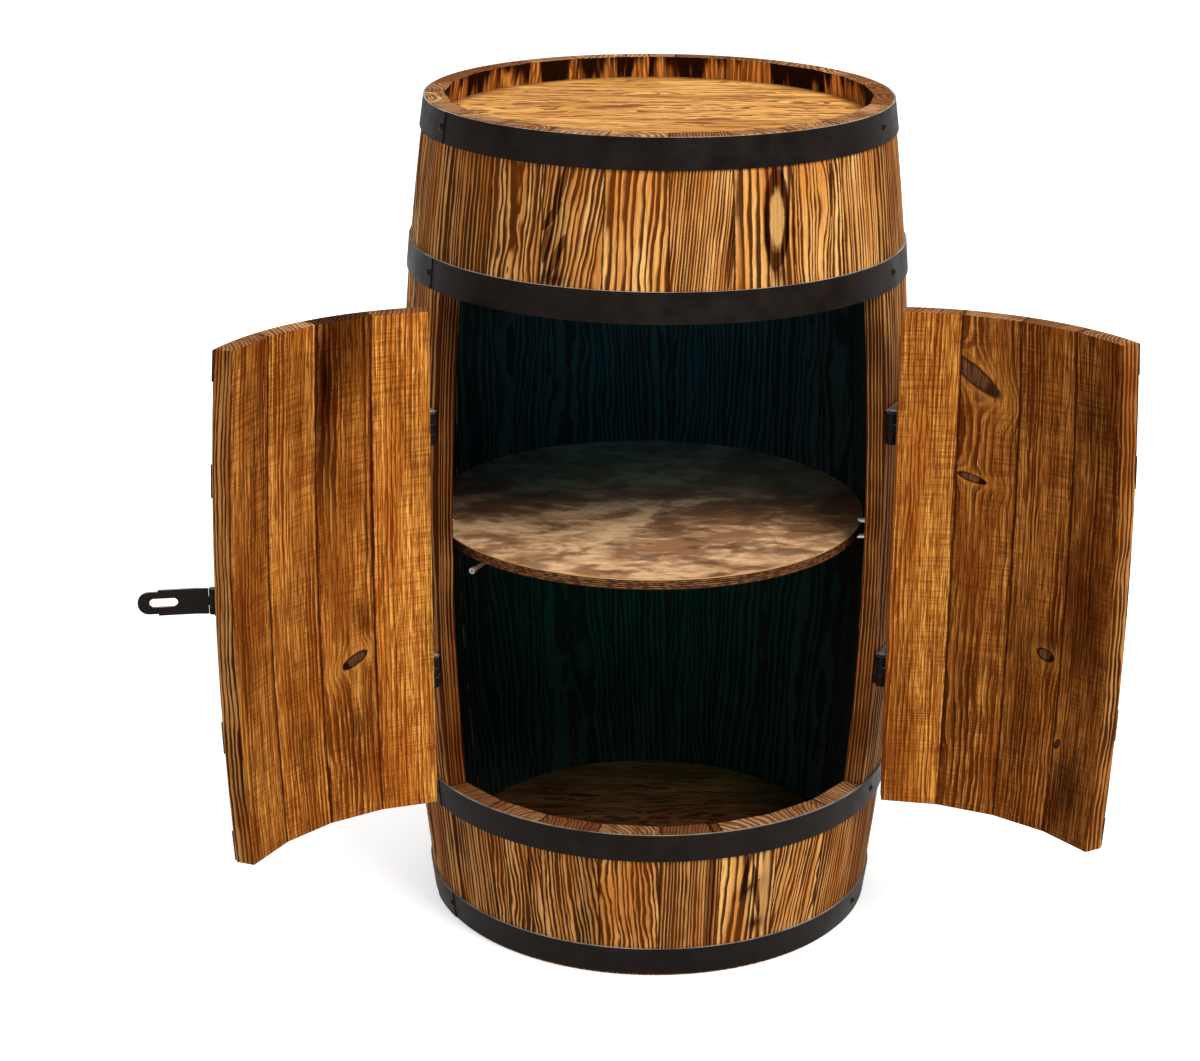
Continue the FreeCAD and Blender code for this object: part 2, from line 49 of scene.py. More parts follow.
# name, door, bearing, heights and head radius
HASP_SCREWS = (("hasp_plate_screws", "left", -9.6, (0.3985, 0.4095), 0.0026),
               ("staple_screws", "right", 8.2, (0.3968, 0.4112), 0.0024))
LAP_BEARING = -64.0
HOOP_SCREWS = (LAP_BEARING, 64.0, 148.0, -148.0)
BAND_SCREWS = (-71.0, 71.0, 118.0, -118.0, 158.0)
STRAP_SCREWS = (4.0, 28.8, 51.5)
HINGE_SCREWS = (4.0, 19.0, 36.0, 50.5)
LEAF_SCREWS = 64.3
SCREW_INSET = 0.008
SCREW_RADIUS = 0.0035
DOME = 0.45
CROSS_SLOT = (1.15, 0.24)

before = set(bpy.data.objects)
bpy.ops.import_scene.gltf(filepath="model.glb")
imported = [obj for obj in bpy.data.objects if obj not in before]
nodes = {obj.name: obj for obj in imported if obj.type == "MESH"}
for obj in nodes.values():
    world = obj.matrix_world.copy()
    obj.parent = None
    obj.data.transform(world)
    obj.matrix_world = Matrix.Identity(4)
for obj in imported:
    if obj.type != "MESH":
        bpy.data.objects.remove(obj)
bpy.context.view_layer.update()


# ---- small helpers for node trees ----
def feed(tree, source, socket):
    """Fills a socket from another socket or from a plain value."""
    if isinstance(source, bpy.types.NodeSocket):
        tree.links.new(source, socket)
    else:
        socket.default_value = source


def place(tree, kind, inputs=(), **settings):
    """Adds a node, sets its settings and feeds its inputs, which are (name or number, source)."""
    node = tree.nodes.new(kind)
    for setting, value in settings.items():
        setattr(node, setting, value)
    for key, source in inputs:
        feed(tree, source, node.inputs[key])
    return node


def calc(tree, operation, *values):
    """Arithmetic on plain values, which may be sockets."""
    return place(tree, "ShaderNodeMath", enumerate(values), operation=operation).outputs[0]


def arithmetic(operation):
    """A helper for one kind of arithmetic."""
    return lambda tree, *values: calc(tree, operation, *values)


times, plus, minus = arithmetic("MULTIPLY"), arithmetic("ADD"), arithmetic("SUBTRACT")
over, most, absolute = arithmetic("DIVIDE"), arithmetic("MAXIMUM"), arithmetic("ABSOLUTE")
times_plus = arithmetic("MULTIPLY_ADD")


def vec(tree, operation, *values):
    """Arithmetic on vectors."""
    node = place(tree, "ShaderNodeVectorMath", enumerate(values), operation=operation)
    return node.outputs["Value" if operation in ("LENGTH", "DOT_PRODUCT") else "Vector"]


def stretch(tree, point, scales):
    """Scales a point by its own amount along each axis."""
    return vec(tree, "MULTIPLY", point, scales)


def join(tree, x, y, z):
    return place(tree, "ShaderNodeCombineXYZ", enumerate((x, y, z))).outputs[0]


def split(tree, vector):
    return place(tree, "ShaderNodeSeparateXYZ", [(0, vector)]).outputs


def noise(tree, point, scale, detail=3.0, roughness=0.5, distortion=0.0, colour=False):
    """Soft noise around a half, at one scale or one for each axis. As a colour it is three in one."""
    if isinstance(scale, tuple):
        point, scale = stretch(tree, point, scale), 1.0
    node = place(tree, "ShaderNodeTexNoise", [("Vector", point), ("Scale", scale), ("Detail", detail),
                                              ("Roughness", roughness), ("Distortion", distortion)])
    return node.outputs["Color" if colour else "Fac"]


def ease(tree, value, low, high, start=0.0, end=1.0):
    """Smooth step from start to end while the value goes from low to high."""
    ends = [("Value", value), ("From Min", low), ("From Max", high), ("To Min", start), ("To Max", end)]
    return place(tree, "ShaderNodeMapRange", ends, interpolation_type="SMOOTHSTEP").outputs["Result"]


def tint(tree, share, first, second, mode="MIX"):
    """Mixes two colours; the share picks how much of the second shows."""
    node = place(tree, "ShaderNodeMix", data_type="RGBA", blend_type=mode)
    feed(tree, share, node.inputs[0])
    feed(tree, first, node.inputs[6])
    feed(tree, second, node.inputs[7])
    return node.outputs[2]


def stain(tree, colour, value, low, high, other, amount=1.0):
    """Lays another colour on where the value is high, up to an amount."""
    return tint(tree, ease(tree, value, low, high, 0.0, amount), colour, other)


def steps(tree, value, stops):
    """Picks one colour of a row: each stop holds its colour until the next."""
    node = place(tree, "ShaderNodeValToRGB", [(0, value)])
    colours = node.color_ramp
    colours.interpolation = "CONSTANT"
    while len(colours.elements) < len(stops):
        colours.elements.new(0.5)
    for element, (position, colour) in zip(colours.elements, stops):
        element.position = position
        element.color = colour
    return node.outputs["Color"]


def group(name, vectors, values, results):
    """An empty shader node group: vector inputs, value inputs with their starts, and outputs, of which
    the one called Board is a vector. Returns the tree and the sockets of its two end nodes."""
    tree = bpy.data.node_groups.new(name, "ShaderNodeTree")
    for socket in vectors:
        tree.interface.new_socket(socket, in_out="INPUT", socket_type="NodeSocketVector")
    for socket, start in values.items():
        made = tree.interface.new_socket(socket, in_out="INPUT", socket_type="NodeSocketFloat")
        made.default_value = start
    for socket in results:
        kind = "NodeSocketVector" if socket == "Board" else "NodeSocketFloat"
        tree.interface.new_socket(socket, in_out="OUTPUT", socket_type=kind)
    return tree, tree.nodes.new("NodeGroupInput").outputs, tree.nodes.new("NodeGroupOutput").inputs


def use(tree, shared, **inputs):
    """Places a shared group in a tree; input names are written with _ for a space."""
    node = place(tree, "ShaderNodeGroup", node_tree=shared)
    for key, source in inputs.items():
        feed(tree, source, node.inputs[key.replace("_", " ")])
    return node.outputs


def surface(tree):
    """Where a point lies on its piece, and which way the surface faces there."""
    outputs = tree.nodes.new("ShaderNodeTexCoord").outputs
    return outputs["Object"], outputs["Normal"]


# ---- shared groups ----
def barrel_place_group():
    """Where a point is on the barrel: bearing from the front, radius, depth under the outside."""
    tree, given, result = group("barrel_place", ["Point", "Facing"], {},
                                ["Bearing", "Radius", "Depth", "Height", "Outward", "Upward"])
    x, y, z = split(tree, given["Point"])
    front = times(tree, y, -1.0)
    radius = calc(tree, "SQRT", plus(tree, times(tree, x, x), times(tree, y, y)))
    feed(tree, calc(tree, "DEGREES", calc(tree, "ARCTAN2", x, front)), result["Bearing"])
    feed(tree, radius, result["Radius"])
    rise = minus(tree, z, HEIGHT / 2)
    bow = calc(tree, "SQRT", minus(tree, BOW_RADIUS ** 2, times(tree, rise, rise)))
    outside = plus(tree, bow, BELLY_RADIUS - BOW_RADIUS)
    feed(tree, minus(tree, outside, radius), result["Depth"])
    feed(tree, z, result["Height"])
    away = vec(tree, "NORMALIZE", join(tree, x, y, 0.0))
    feed(tree, vec(tree, "DOT_PRODUCT", away, given["Facing"]), result["Outward"])
    feed(tree, split(tree, given["Facing"])[2], result["Upward"])
    return tree


def stave_board_group():
    """Turns a place on the barrel into a place on one stave: across, into the wood, along."""
    starts = dict.fromkeys(("Bearing", "Radius", "Depth", "Height", "Middle"), 0.0)
    tree, given, result = group("stave_board", [], starts, ["Board", "Across"])
    turn = calc(tree, "RADIANS", minus(tree, given["Bearing"], given["Middle"]))
    across = times(tree, given["Radius"], calc(tree, "SINE", turn))
    feed(tree, across, result["Across"])
    feed(tree, join(tree, across, given["Depth"], given["Height"]), result["Board"])
    return tree


def growth_rings_group():
    """Growth rings of a sawn board: dark latewood bands, brushed fibre, and rings bent by knots."""
    starts = {"Pith Across": 0.0, "Pith Depth": 0.08, "Ring Width": 0.005, "Wander": 0.006, "Slant": 0.0,
              "Bend": 0.0, "Dark Share": 0.5, "Seed": 0.0}
    tree, given, result = group("growth_rings", ["Board"], starts,
                                ["Latewood", "Line", "Fibre", "Streak", "Broad"])
    x, y, z = split(tree, given["Board"])
    seed = given["Seed"]
    start = times(tree, seed, 3.7)
    lean = plus(tree, x, times(tree, z, given["Slant"]))
    slow = noise(tree, join(tree, plus(tree, times(tree, lean, 16.0), start),
                            times(tree, y, 16.0), times(tree, z, 6.0)), 1.0, 2.0, colour=True)
    quick = noise(tree, join(tree, times(tree, lean, 90.0),
                             plus(tree, times(tree, y, 90.0), start),
                             times(tree, z, 32.0)), 1.0, 2.0, colour=True)
    half = (0.5, 0.5, 0.5)
    shift = vec(tree, "ADD", stretch(tree, vec(tree, "SUBTRACT", slow, half), (2.2, 2.2, 0.0)),
                stretch(tree, vec(tree, "SUBTRACT", quick, half), (0.62, 0.62, 0.0)))
    shift_x, shift_y, _ = split(tree, shift)
    off_x = minus(tree, times_plus(tree, shift_x, given["Wander"], lean), given["Pith Across"])
    off_y = plus(tree, times_plus(tree, shift_y, given["Wander"], y), given["Pith Depth"])
    away = calc(tree, "SQRT", plus(tree, times(tree, off_x, off_x), times(tree, off_y, off_y)))
    rings = plus(tree, over(tree, away, given["Ring Width"]), given["Bend"])
    uneven = noise(tree, join(tree, times(tree, rings, 0.55), start, 0.0), 1.0, 1.0)
    rings = times_plus(tree, uneven, 1.7, rings)
    part = calc(tree, "FRACT", rings)
    swell = noise(tree, join(tree, times(tree, lean, 70.0), start, times(tree, z, 16.0)), 1.0, 2.0)
    share = times(tree, given["Dark Share"], ease(tree, swell, 0.35, 0.65, 0.66, 1.34))
    growing = ease(tree, part, minus(tree, 0.72, share), minus(tree, 1.06, share))
    feed(tree, times(tree, growing, ease(tree, part, 0.93, 1.0, 1.0, 0.0)), result["Latewood"])
    line = times(tree, ease(tree, part, 0.74, 0.90), ease(tree, part, 0.93, 1.0, 1.0, 0.0))
    strength = noise(tree, join(tree, calc(tree, "FLOOR", rings), start, times(tree, z, 5.0)), 1.0, 1.0)
    feed(tree, times(tree, line, ease(tree, strength, 0.35, 0.65, 0.25, 1.0)), result["Line"])
    fibres = (("Fibre", 1100.0, 38.0, 3.0, 0.6), ("Streak", 330.0, 6.0, 4.0, 0.7))
    for output, fine, long, detail, roughness in fibres:
        spot = join(tree, times(tree, lean, fine), times(tree, y, fine),
                    plus(tree, times(tree, z, long), start))
        feed(tree, noise(tree, spot, 1.0, detail, roughness), result[output])
    feed(tree, noise(tree, join(tree, plus(tree, times(tree, lean, 42.0), start),
                                times(tree, y, 42.0), times(tree, z, 7.0)), 1.0, 3.0), result["Broad"])
    return tree


def knot_group():
    """A tilted oval on the board: swelling, side on which the grain passes, lens, rim and broad band."""
    starts = {"Across": 0.0, "Along": 0.0, "At Across": 0.0, "At Along": 0.0, "Half Width": 0.01,
              "Half Length": 0.02, "Tilt": 0.0}
    tree, given, result = group("knot", [], starts, ["Swell", "Pass", "Lens", "Rim", "Band"])
    across = minus(tree, given["Across"], given["At Across"])
    along = minus(tree, given["Along"], given["At Along"])
    cosine, sine = calc(tree, "COSINE", given["Tilt"]), calc(tree, "SINE", given["Tilt"])
    u = minus(tree, times(tree, across, cosine), times(tree, along, sine))
    v = plus(tree, times(tree, across, sine), times(tree, along, cosine))
    u = over(tree, u, given["Half Width"])
    v = over(tree, v, given["Half Length"])
    spread = plus(tree, times(tree, u, u), times(tree, v, v))
    feed(tree, calc(tree, "EXPONENT", times(tree, spread, -1.0)), result["Swell"])
    side = over(tree, across, plus(tree, absolute(tree, across), 0.0035))
    feed(tree, times(tree, side, calc(tree, "EXPONENT", times(tree, spread, -0.22))), result["Pass"])
    rough = noise(tree, join(tree, u, v, given["At Along"]), 2.6, 3.0, 0.6)
    edge = times_plus(tree, rough, 0.5, minus(tree, spread, 0.25))
    feed(tree, ease(tree, edge, 0.86, 1.10, 1.0, 0.0), result["Lens"])
    ring = times(tree, ease(tree, edge, 0.52, 0.78), ease(tree, edge, 1.02, 1.40, 0.9, 0.0))
    tip = times(tree, ease(tree, v, -0.62, -0.38, 1.0, 0.0), ease(tree, edge, 1.0, 1.2, 1.0, 0.0))
    feed(tree, most(tree, ring, tip), result["Rim"])
    band = times(tree, ease(tree, edge, 0.20, 0.44), ease(tree, edge, 0.85, 1.30, 1.0, 0.0))
    feed(tree, band, result["Band"])
    return tree


def saw_marks_group():
    """Fine, nearly level scratches left by the saw, stronger in some patches."""
    tree, given, result = group("saw_marks", ["Board"], {"Pitch": 0.0016}, ["Mark"])
    x, y, z = split(tree, given["Board"])
    row = over(tree, times_plus(tree, x, 0.04, z), given["Pitch"])
    scratch = noise(tree, join(tree, times(tree, x, 20.0), times(tree, y, 20.0), row), 1.0, 2.0, 0.6)
    patch = noise(tree, join(tree, times(tree, x, 30.0), y, times(tree, z, 15.0)), 1.0, 2.0)
    feed(tree, times(tree, ease(tree, scratch, 0.48, 0.58), ease(tree, patch, 0.36, 0.60, 0.10, 1.0)),
         result["Mark"])
    return tree


BARREL_PLACE = barrel_place_group()
STAVE_BOARD = stave_board_group()
GROWTH_RINGS = growth_rings_group()
KNOT = knot_group()
SAW_MARKS = saw_marks_group()


# ---- finishes ----
def finish(name, **plain):
    """A new material with one Principled shader, with its tree and inputs. Plain inputs are given by
    name, with _ for a space."""
    material = bpy.data.materials.new(name)
    material.use_nodes = True
    tree = material.node_tree
    tree.nodes.clear()
    shader = tree.nodes.new("ShaderNodeBsdfPrincipled")
    output = tree.nodes.new("ShaderNodeOutputMaterial")
    tree.links.new(shader.outputs[0], output.inputs["Surface"])
    for key, value in plain.items():
        shader.inputs[key.replace("_", " ")].default_value = value
    return material, tree, shader.inputs


def bump(tree, height, strength, distance, inputs):
    """Lets a height show as relief."""
    relief = [("Strength", strength), ("Distance", distance), ("Height", height)]
    feed(tree, place(tree, "ShaderNodeBump", relief).outputs[0], inputs["Normal"])


def rgb(red, green, blue):
    return (red, green, blue, 1.0)


WHITE = rgb(1.0, 1.0, 1.0)
CHAR = rgb(0.026, 0.005, 0.001)
UMBER = rgb(0.115, 0.024, 0.002)
HONEY = rgb(0.64, 0.225, 0.034)
STRAW = rgb(1.0, 0.57, 0.19)
END_TAN = rgb(0.66, 0.36, 0.155)
WOOD_GLOSS = 0.012
OILED_GLOSS = 0.08
IRON_GLOSS = 0.07


def figure(pith, deep, ring, wander, slant, dark, tone, knots=(), shades=(), bands=(), blots=(),
           side_stain_and_shade=0.3):
    """How one board is grained: sizes in metres, tone from 0 for golden to 1 for brown, and how dark
    its sawn side is. A knot is (across, along, half width, half length, tilt, rings of swelling, rings
    passing, darkness). A soft shade, a ringed band with a pale heart or a sharp blot is (across, along,
    half width, half length, tilt, darkness)."""
    return {"pith": pith, "deep": deep, "ring": ring, "wander": wander, "slant": slant, "dark": dark,
            "tone": tone, "knots": knots, "shades": shades, "bands": bands, "blots": blots,
            "side_stain_and_shade": side_stain_and_shade}


FIGURE_DEPTH = 0.006
FIGURE_SPANS = {"pith": (-0.1, 0.1), "deep": (0.0, 0.2), "ring": (0.0, 0.02), "wander": (0.0, 0.04),
                "slant": (-0.5, 0.5), "dark": (0.0, 1.0), "tone": (0.0, 1.0)}


def row_value(tree, step, figures, key, low, high):
    """One figure value for each stave of a row, picked by the stave's number."""
    stops = []
    for number, one in enumerate(figures):
        share = (one[key] - low) / (high - low)
        stops.append((number / len(figures), (share, share, share, 1.0)))
    return times_plus(tree, split(tree, steps(tree, step, stops))[0], high - low, low)


def across_of(tree, number, across, bearing):
    """Distance across the stave that a knot belongs to: one stave of a row, or the only one."""
    if number is None:
        return across
    middle = (number + 0.5) * STAVE_PITCH - JAMB
    turn = calc(tree, "RADIANS", minus(tree, bearing, middle))
    return times(tree, turn, BELLY_RADIUS - FIGURE_DEPTH)


def drawn_marks(tree, owners, across, bearing, height):
    """The knots and smoky marks of the staves: how they bend the rings, and where each kind shows."""
    marks = dict.fromkeys(("bend", "lens", "rim", "shade", "flare", "pale"), 0.0)

    def show(kind, strength):
        marks[kind] = most(tree, marks[kind], strength)

    def oval(at, along, wide, tall, tilt):
        return use(tree, KNOT, Across=own_across, Along=height, At_Across=at, At_Along=along,
                   Half_Width=wide, Half_Length=tall, Tilt=tilt)

    for number, one in owners:
        own_across = across_of(tree, number, across, bearing)
        for *shape, rings, passing, dark in one["knots"]:
            knot = oval(*shape)
            for output, amount in (("Swell", rings), ("Pass", passing)):
                marks["bend"] = times_plus(tree, knot[output], amount, marks["bend"])
            if dark:
                show("flare", calc(tree, "POWER", knot["Swell"], 0.2))
                show("lens", knot["Lens"])
                show("rim", times(tree, knot["Rim"], dark))
        for kind, output in (("shades", "Swell"), ("bands", "Band"), ("blots", "Lens")):
            for *shape, dark in one[kind]:
                patch = oval(*shape)
                show("shade", times(tree, patch[output], dark))
                if kind == "bands":
                    show("pale", ease(tree, patch["Swell"], 0.58, 0.84))
    return marks


def marked(tree, colour, marks, grain, tone):
    """The wood's colour under pale hearts of bands, scorched shades, and knots with their rims."""
    if marks["pale"]:
        heart = times(tree, marks["pale"], 0.9)
        colour = tint(tree, heart, colour, tint(tree, grain["Streak"], STRAW, UMBER))
    deep_burn, light_burn = rgb(0.055, 0.030, 0.020), rgb(0.20, 0.115, 0.07)
    scorch = stain(tree, deep_burn, grain["Streak"], 0.40, 0.60, light_burn)
    colour = tint(tree, marks["shade"], colour, scorch, "MULTIPLY")
    if marks["flare"]:
        glow = tint(tree, tone, rgb(0.80, 0.34, 0.06), rgb(0.36, 0.115, 0.020))
        streaked = ease(tree, grain["Streak"], 0.42, 0.58, 0.75, 0.15)
        colour = tint(tree, times(tree, marks["flare"], streaked), colour, glow)
        knot_brown, knot_dark = rgb(0.15, 0.066, 0.030), rgb(0.055, 0.018, 0.007)
        heart = stain(tree, knot_brown, grain["Fibre"], 0.40, 0.60, knot_dark)
        colour = tint(tree, marks["lens"], colour, heart)
        colour = tint(tree, marks["rim"], colour, rgb(0.010, 0.003, 0.001))
    return colour


def charred_outside(tree, tone, grain):
    """Golden earlywood between charred latewood, brushed along the grain."""
    light = tint(tree, tone, STRAW, rgb(0.42, 0.15, 0.034))
    middle = tint(tree, tone, HONEY, rgb(0.22, 0.066, 0.012))
    light = stain(tree, light, grain["Broad"], 0.36, 0.66, middle, 0.85)
    light = stain(tree, light, grain["Streak"], 0.47, 0.60, middle, 0.62)
    light = stain(tree, light, grain["Fibre"], 0.46, 0.66, UMBER, 0.45)
    dark = stain(tree, CHAR, grain["Broad"], 0.3, 0.7, UMBER)
    return tint(tree, times(tree, grain["Latewood"], 0.96), light, dark)


def sawn_inside(tree, tone, grain, scratches, board):
    """Oiled orange face with fine dark lines, brown clouds, level saw marks and pale specks that are
    painted glints.
    """
    gold = tint(tree, tone, rgb(1.0, 0.46, 0.085), rgb(0.42, 0.135, 0.027))
    brown = tint(tree, tone, rgb(0.56, 0.165, 0.020), rgb(0.110, 0.026, 0.004))
    line = tint(tree, tone, rgb(0.19, 0.036, 0.003), rgb(0.020, 0.004, 0.001))
    cloud = noise(tree, board, (30.0, 30.0, 7.0), 5.0, 0.66)
    colour = stain(tree, gold, cloud, 0.38, 0.66, brown)
    colour = stain(tree, colour, grain["Streak"], 0.45, 0.56, brown, 0.80)
    colour = tint(tree, times(tree, scratches, 0.46), colour, line)
    swathe = noise(tree, board, (46.0, 46.0, 3.0), 2.0)
    lines = times(tree, grain["Latewood"], ease(tree, swathe, 0.42, 0.60, 0.20, 0.95))
    colour = tint(tree, lines, colour, line)
    colour = stain(tree, colour, grain["Fibre"], 0.48, 0.56, line, 0.80)
    # Pale gold specks are painted glints of light on the sawn fibres.
    painted_glint = noise(tree, board, (700.0, 700.0, 240.0), 2.0)
    colour = stain(tree, colour, painted_glint, 0.62, 0.76, gold, 0.35)
    return tint(tree, times(tree, grain["Line"], 0.8), colour, rgb(0.022, 0.004, 0.001))


def barrel_inside(tree, grain, board, height):
    """Wall near black from stain and painted shade, with a painted teal light; above the head a charred
    chime with flames of bare wood.
    """
    # The wall colour is painted shade of the closed barrel over a dark stain; its green cast is painted
    # strip light.
    dark_stain_and_shade, black_line = rgb(0.016, 0.022, 0.018), rgb(0.004, 0.005, 0.004)
    wall = tint(tree, times(tree, grain["Latewood"], 0.8), dark_stain_and_shade, black_line)
    rise = minus(tree, height, HEIGHT - RIM_TO_HEAD)
    flame = noise(tree, board, (36.0, 36.0, 5.0), 4.0, 0.62)
    flame = times_plus(tree, rise, -4.5, flame)
    pale, brown = rgb(0.72, 0.28, 0.055), rgb(0.20, 0.055, 0.010)
    bare = stain(tree, pale, grain["Streak"], 0.42, 0.62, brown)
    bare = tint(tree, times(tree, grain["Latewood"], 0.7), bare, UMBER)
    chime = stain(tree, rgb(0.014, 0.004, 0.001), flame, 0.43, 0.53, bare)
    return stain(tree, wall, height, HEIGHT - CHIME, HEIGHT - CHIME + 0.0005, chime)


def end_grain(tree, middle, seed, grain):
    """Sawn ends: tan to brown, a little different on each stave, with the rings across them."""
    own = noise(tree, join(tree, middle, seed, 0.0), 3.0, 0.0)
    colour = stain(tree, END_TAN, own, 0.35, 0.65, rgb(0.25, 0.10, 0.034))
    colour = tint(tree, times(tree, grain["Latewood"], 0.78), colour, rgb(0.075, 0.022, 0.006))
    colour = stain(tree, colour, grain["Broad"], 0.50, 0.62, UMBER, 0.45)
    return stain(tree, colour, grain["Fibre"], 0.42, 0.66, UMBER, 0.5)


def as_shut(tree, point, facing, side):
    """Turns a place on an open door, and the way it faces, back to where the door is shut."""
    centre, turn = HINGES[side]
    shut = [("Axis", (0, 0, 1)), ("Angle", math.radians(turn))]
    about = [("Vector", point), ("Center", centre)] + shut
    point = place(tree, "ShaderNodeVectorRotate", about).outputs[0]
    return point, place(tree, "ShaderNodeVectorRotate", [("Vector", facing)] + shut).outputs[0]


def stave_finish(name, figures, middle=None, side=None, seed=0.0, indoors="dark", width=STAVE_PITCH):
    """Pine stave: charred and brushed outside, sawn or dark inside, pale end grain, and a ragged dark
    line at its joints. A row of staves gives one figure each; a single stave gives its middle bearing."""
    material, tree, inputs = finish(name, Specular_IOR_Level=WOOD_GLOSS)
    point, facing = surface(tree)
    if side:
        point, facing = as_shut(tree, point, facing, side)
    spot = use(tree, BARREL_PLACE, Point=point, Facing=facing)
    bearing, height, depth = spot["Bearing"], spot["Height"], spot["Depth"]
    if middle is None:
        count = over(tree, plus(tree, bearing, JAMB), STAVE_PITCH)
        whole = calc(tree, "FLOOR", count)
        middle = times_plus(tree, whole, STAVE_PITCH, STAVE_PITCH / 2 - JAMB)
        step = over(tree, plus(tree, whole, 0.5), len(figures))
        values = {key: row_value(tree, step, figures, key, *span) for key, span in FIGURE_SPANS.items()}
        seed = plus(tree, whole, seed)
        owners = list(enumerate(figures))
    else:
        middle = middle - 360 if middle > 180 else middle
        values = {key: figures[0][key] for key in FIGURE_SPANS}
        owners = [(None, figures[0])]
        if abs(middle) > BACK_BEARING:
            bearing = calc(tree, "WRAP", bearing, middle + 180, middle - 180)
    stave = use(tree, STAVE_BOARD, Bearing=bearing, Radius=spot["Radius"], Depth=depth, Height=height,
                Middle=middle)
    board, across = stave["Board"], stave["Across"]
    marks = drawn_marks(tree, owners, across, bearing, height)
    grain = use(tree, GROWTH_RINGS, Board=board, Pith_Across=values["pith"], Pith_Depth=values["deep"],
                Ring_Width=values["ring"], Wander=values["wander"], Slant=values["slant"],
                Bend=marks["bend"], Dark_Share=values["dark"], Seed=seed)
    late, fibre = grain["Latewood"], grain["Fibre"]
    outer = charred_outside(tree, values["tone"], grain)
    if indoors == "sawn":
        scratches = use(tree, SAW_MARKS, Board=board)["Mark"]
        shifted = vec(tree, "ADD", board, join(tree, 0.0, seed, seed))
        inner = sawn_inside(tree, values["tone"], grain, scratches, shifted)
    else:
        scratches = fibre
        inner = barrel_inside(tree, grain, vec(tree, "ADD", board, join(tree, 0.0, seed, 0.0)), height)
    end = end_grain(tree, middle, seed, grain)
    # Sawn sides darken by the figure's side value: partly the wood's own colour, partly painted shade.
    edge = tint(tree, figures[0]["side_stain_and_shade"], outer, rgb(0.20, 0.10, 0.05), "MULTIPLY")
    colour = stain(tree, inner, spot["Outward"], -0.55, -0.45, edge)
    colour = stain(tree, colour, spot["Outward"], 0.45, 0.55, outer)
    ends = ease(tree, absolute(tree, spot["Upward"]), 0.75, 0.85)
    colour = marked(tree, tint(tree, ends, colour, end), marks, grain, values["tone"])
    reach = times(tree, math.sin(math.radians(width / 2)), spot["Radius"])
    ragged = noise(tree, join(tree, middle, seed, times(tree, height, 55.0)), 1.0, 3.0, 0.7)
    worn = 1.5 if indoors == "sawn" else 1.0
    seam = ease(tree, minus(tree, reach, absolute(tree, across)), 0.0003 * worn,
                ease(tree, ragged, 0.35, 0.7, 0.0007 * worn, 0.0022 * worn), 0.92, 0.0)
    faces = most(tree, absolute(tree, spot["Outward"]), absolute(tree, spot["Upward"]))
    colour = tint(tree, times(tree, seam, ease(tree, faces, 0.6, 0.8)), colour, CHAR)
    feed(tree, colour, inputs["Base Color"])
    feed(tree, ease(tree, late, 0.0, 1.0, 0.52, 0.72), inputs["Roughness"])
    relief = plus(tree, times(tree, late, -0.7), times(tree, fibre, 0.8))
    relief = plus(tree, relief, times(tree, scratches, -0.35))
    bump(tree, relief, 0.6, 0.0008, inputs)
    return material


def head_finish(name, gold, brown, scorch, face_height, seed):
    """Head board: wavy, scorched grain that runs from side to side, darker by the wall."""
    material, tree, inputs = finish(name, Roughness=0.5, Specular_IOR_Level=OILED_GLOSS)
    point, _ = surface(tree)
    x, y, z = split(tree, point)
    board = join(tree, y, minus(tree, face_height, z), x)
    grain = use(tree, GROWTH_RINGS, Board=board, Pith_Across=0.03, Pith_Depth=0.045, Ring_Width=0.0042,
                Wander=0.020, Slant=0.03, Dark_Share=0.44, Seed=seed)
    colour = stain(tree, gold, grain["Broad"], 0.36, 0.66, brown)
    colour = stain(tree, colour, grain["Streak"], 0.45, 0.58, brown, 0.70)
    colour = stain(tree, colour, grain["Fibre"], 0.46, 0.64, scorch, 0.45)
    patches = noise(tree, point, (16.0, 110.0, 1.0), 3.0)
    strength = ease(tree, patches, 0.38, 0.56, 0.12, 1.0)
    colour = tint(tree, times(tree, grain["Latewood"], strength), colour, scorch)
    radius = vec(tree, "LENGTH", join(tree, x, y, 0.0))
    colour = stain(tree, colour, radius, *HEAD_EDGE, scorch, 0.7)
    feed(tree, colour, inputs["Base Color"])
    bump(tree, minus(tree, grain["Fibre"], grain["Latewood"]), 0.4, 0.0005, inputs)
    return material


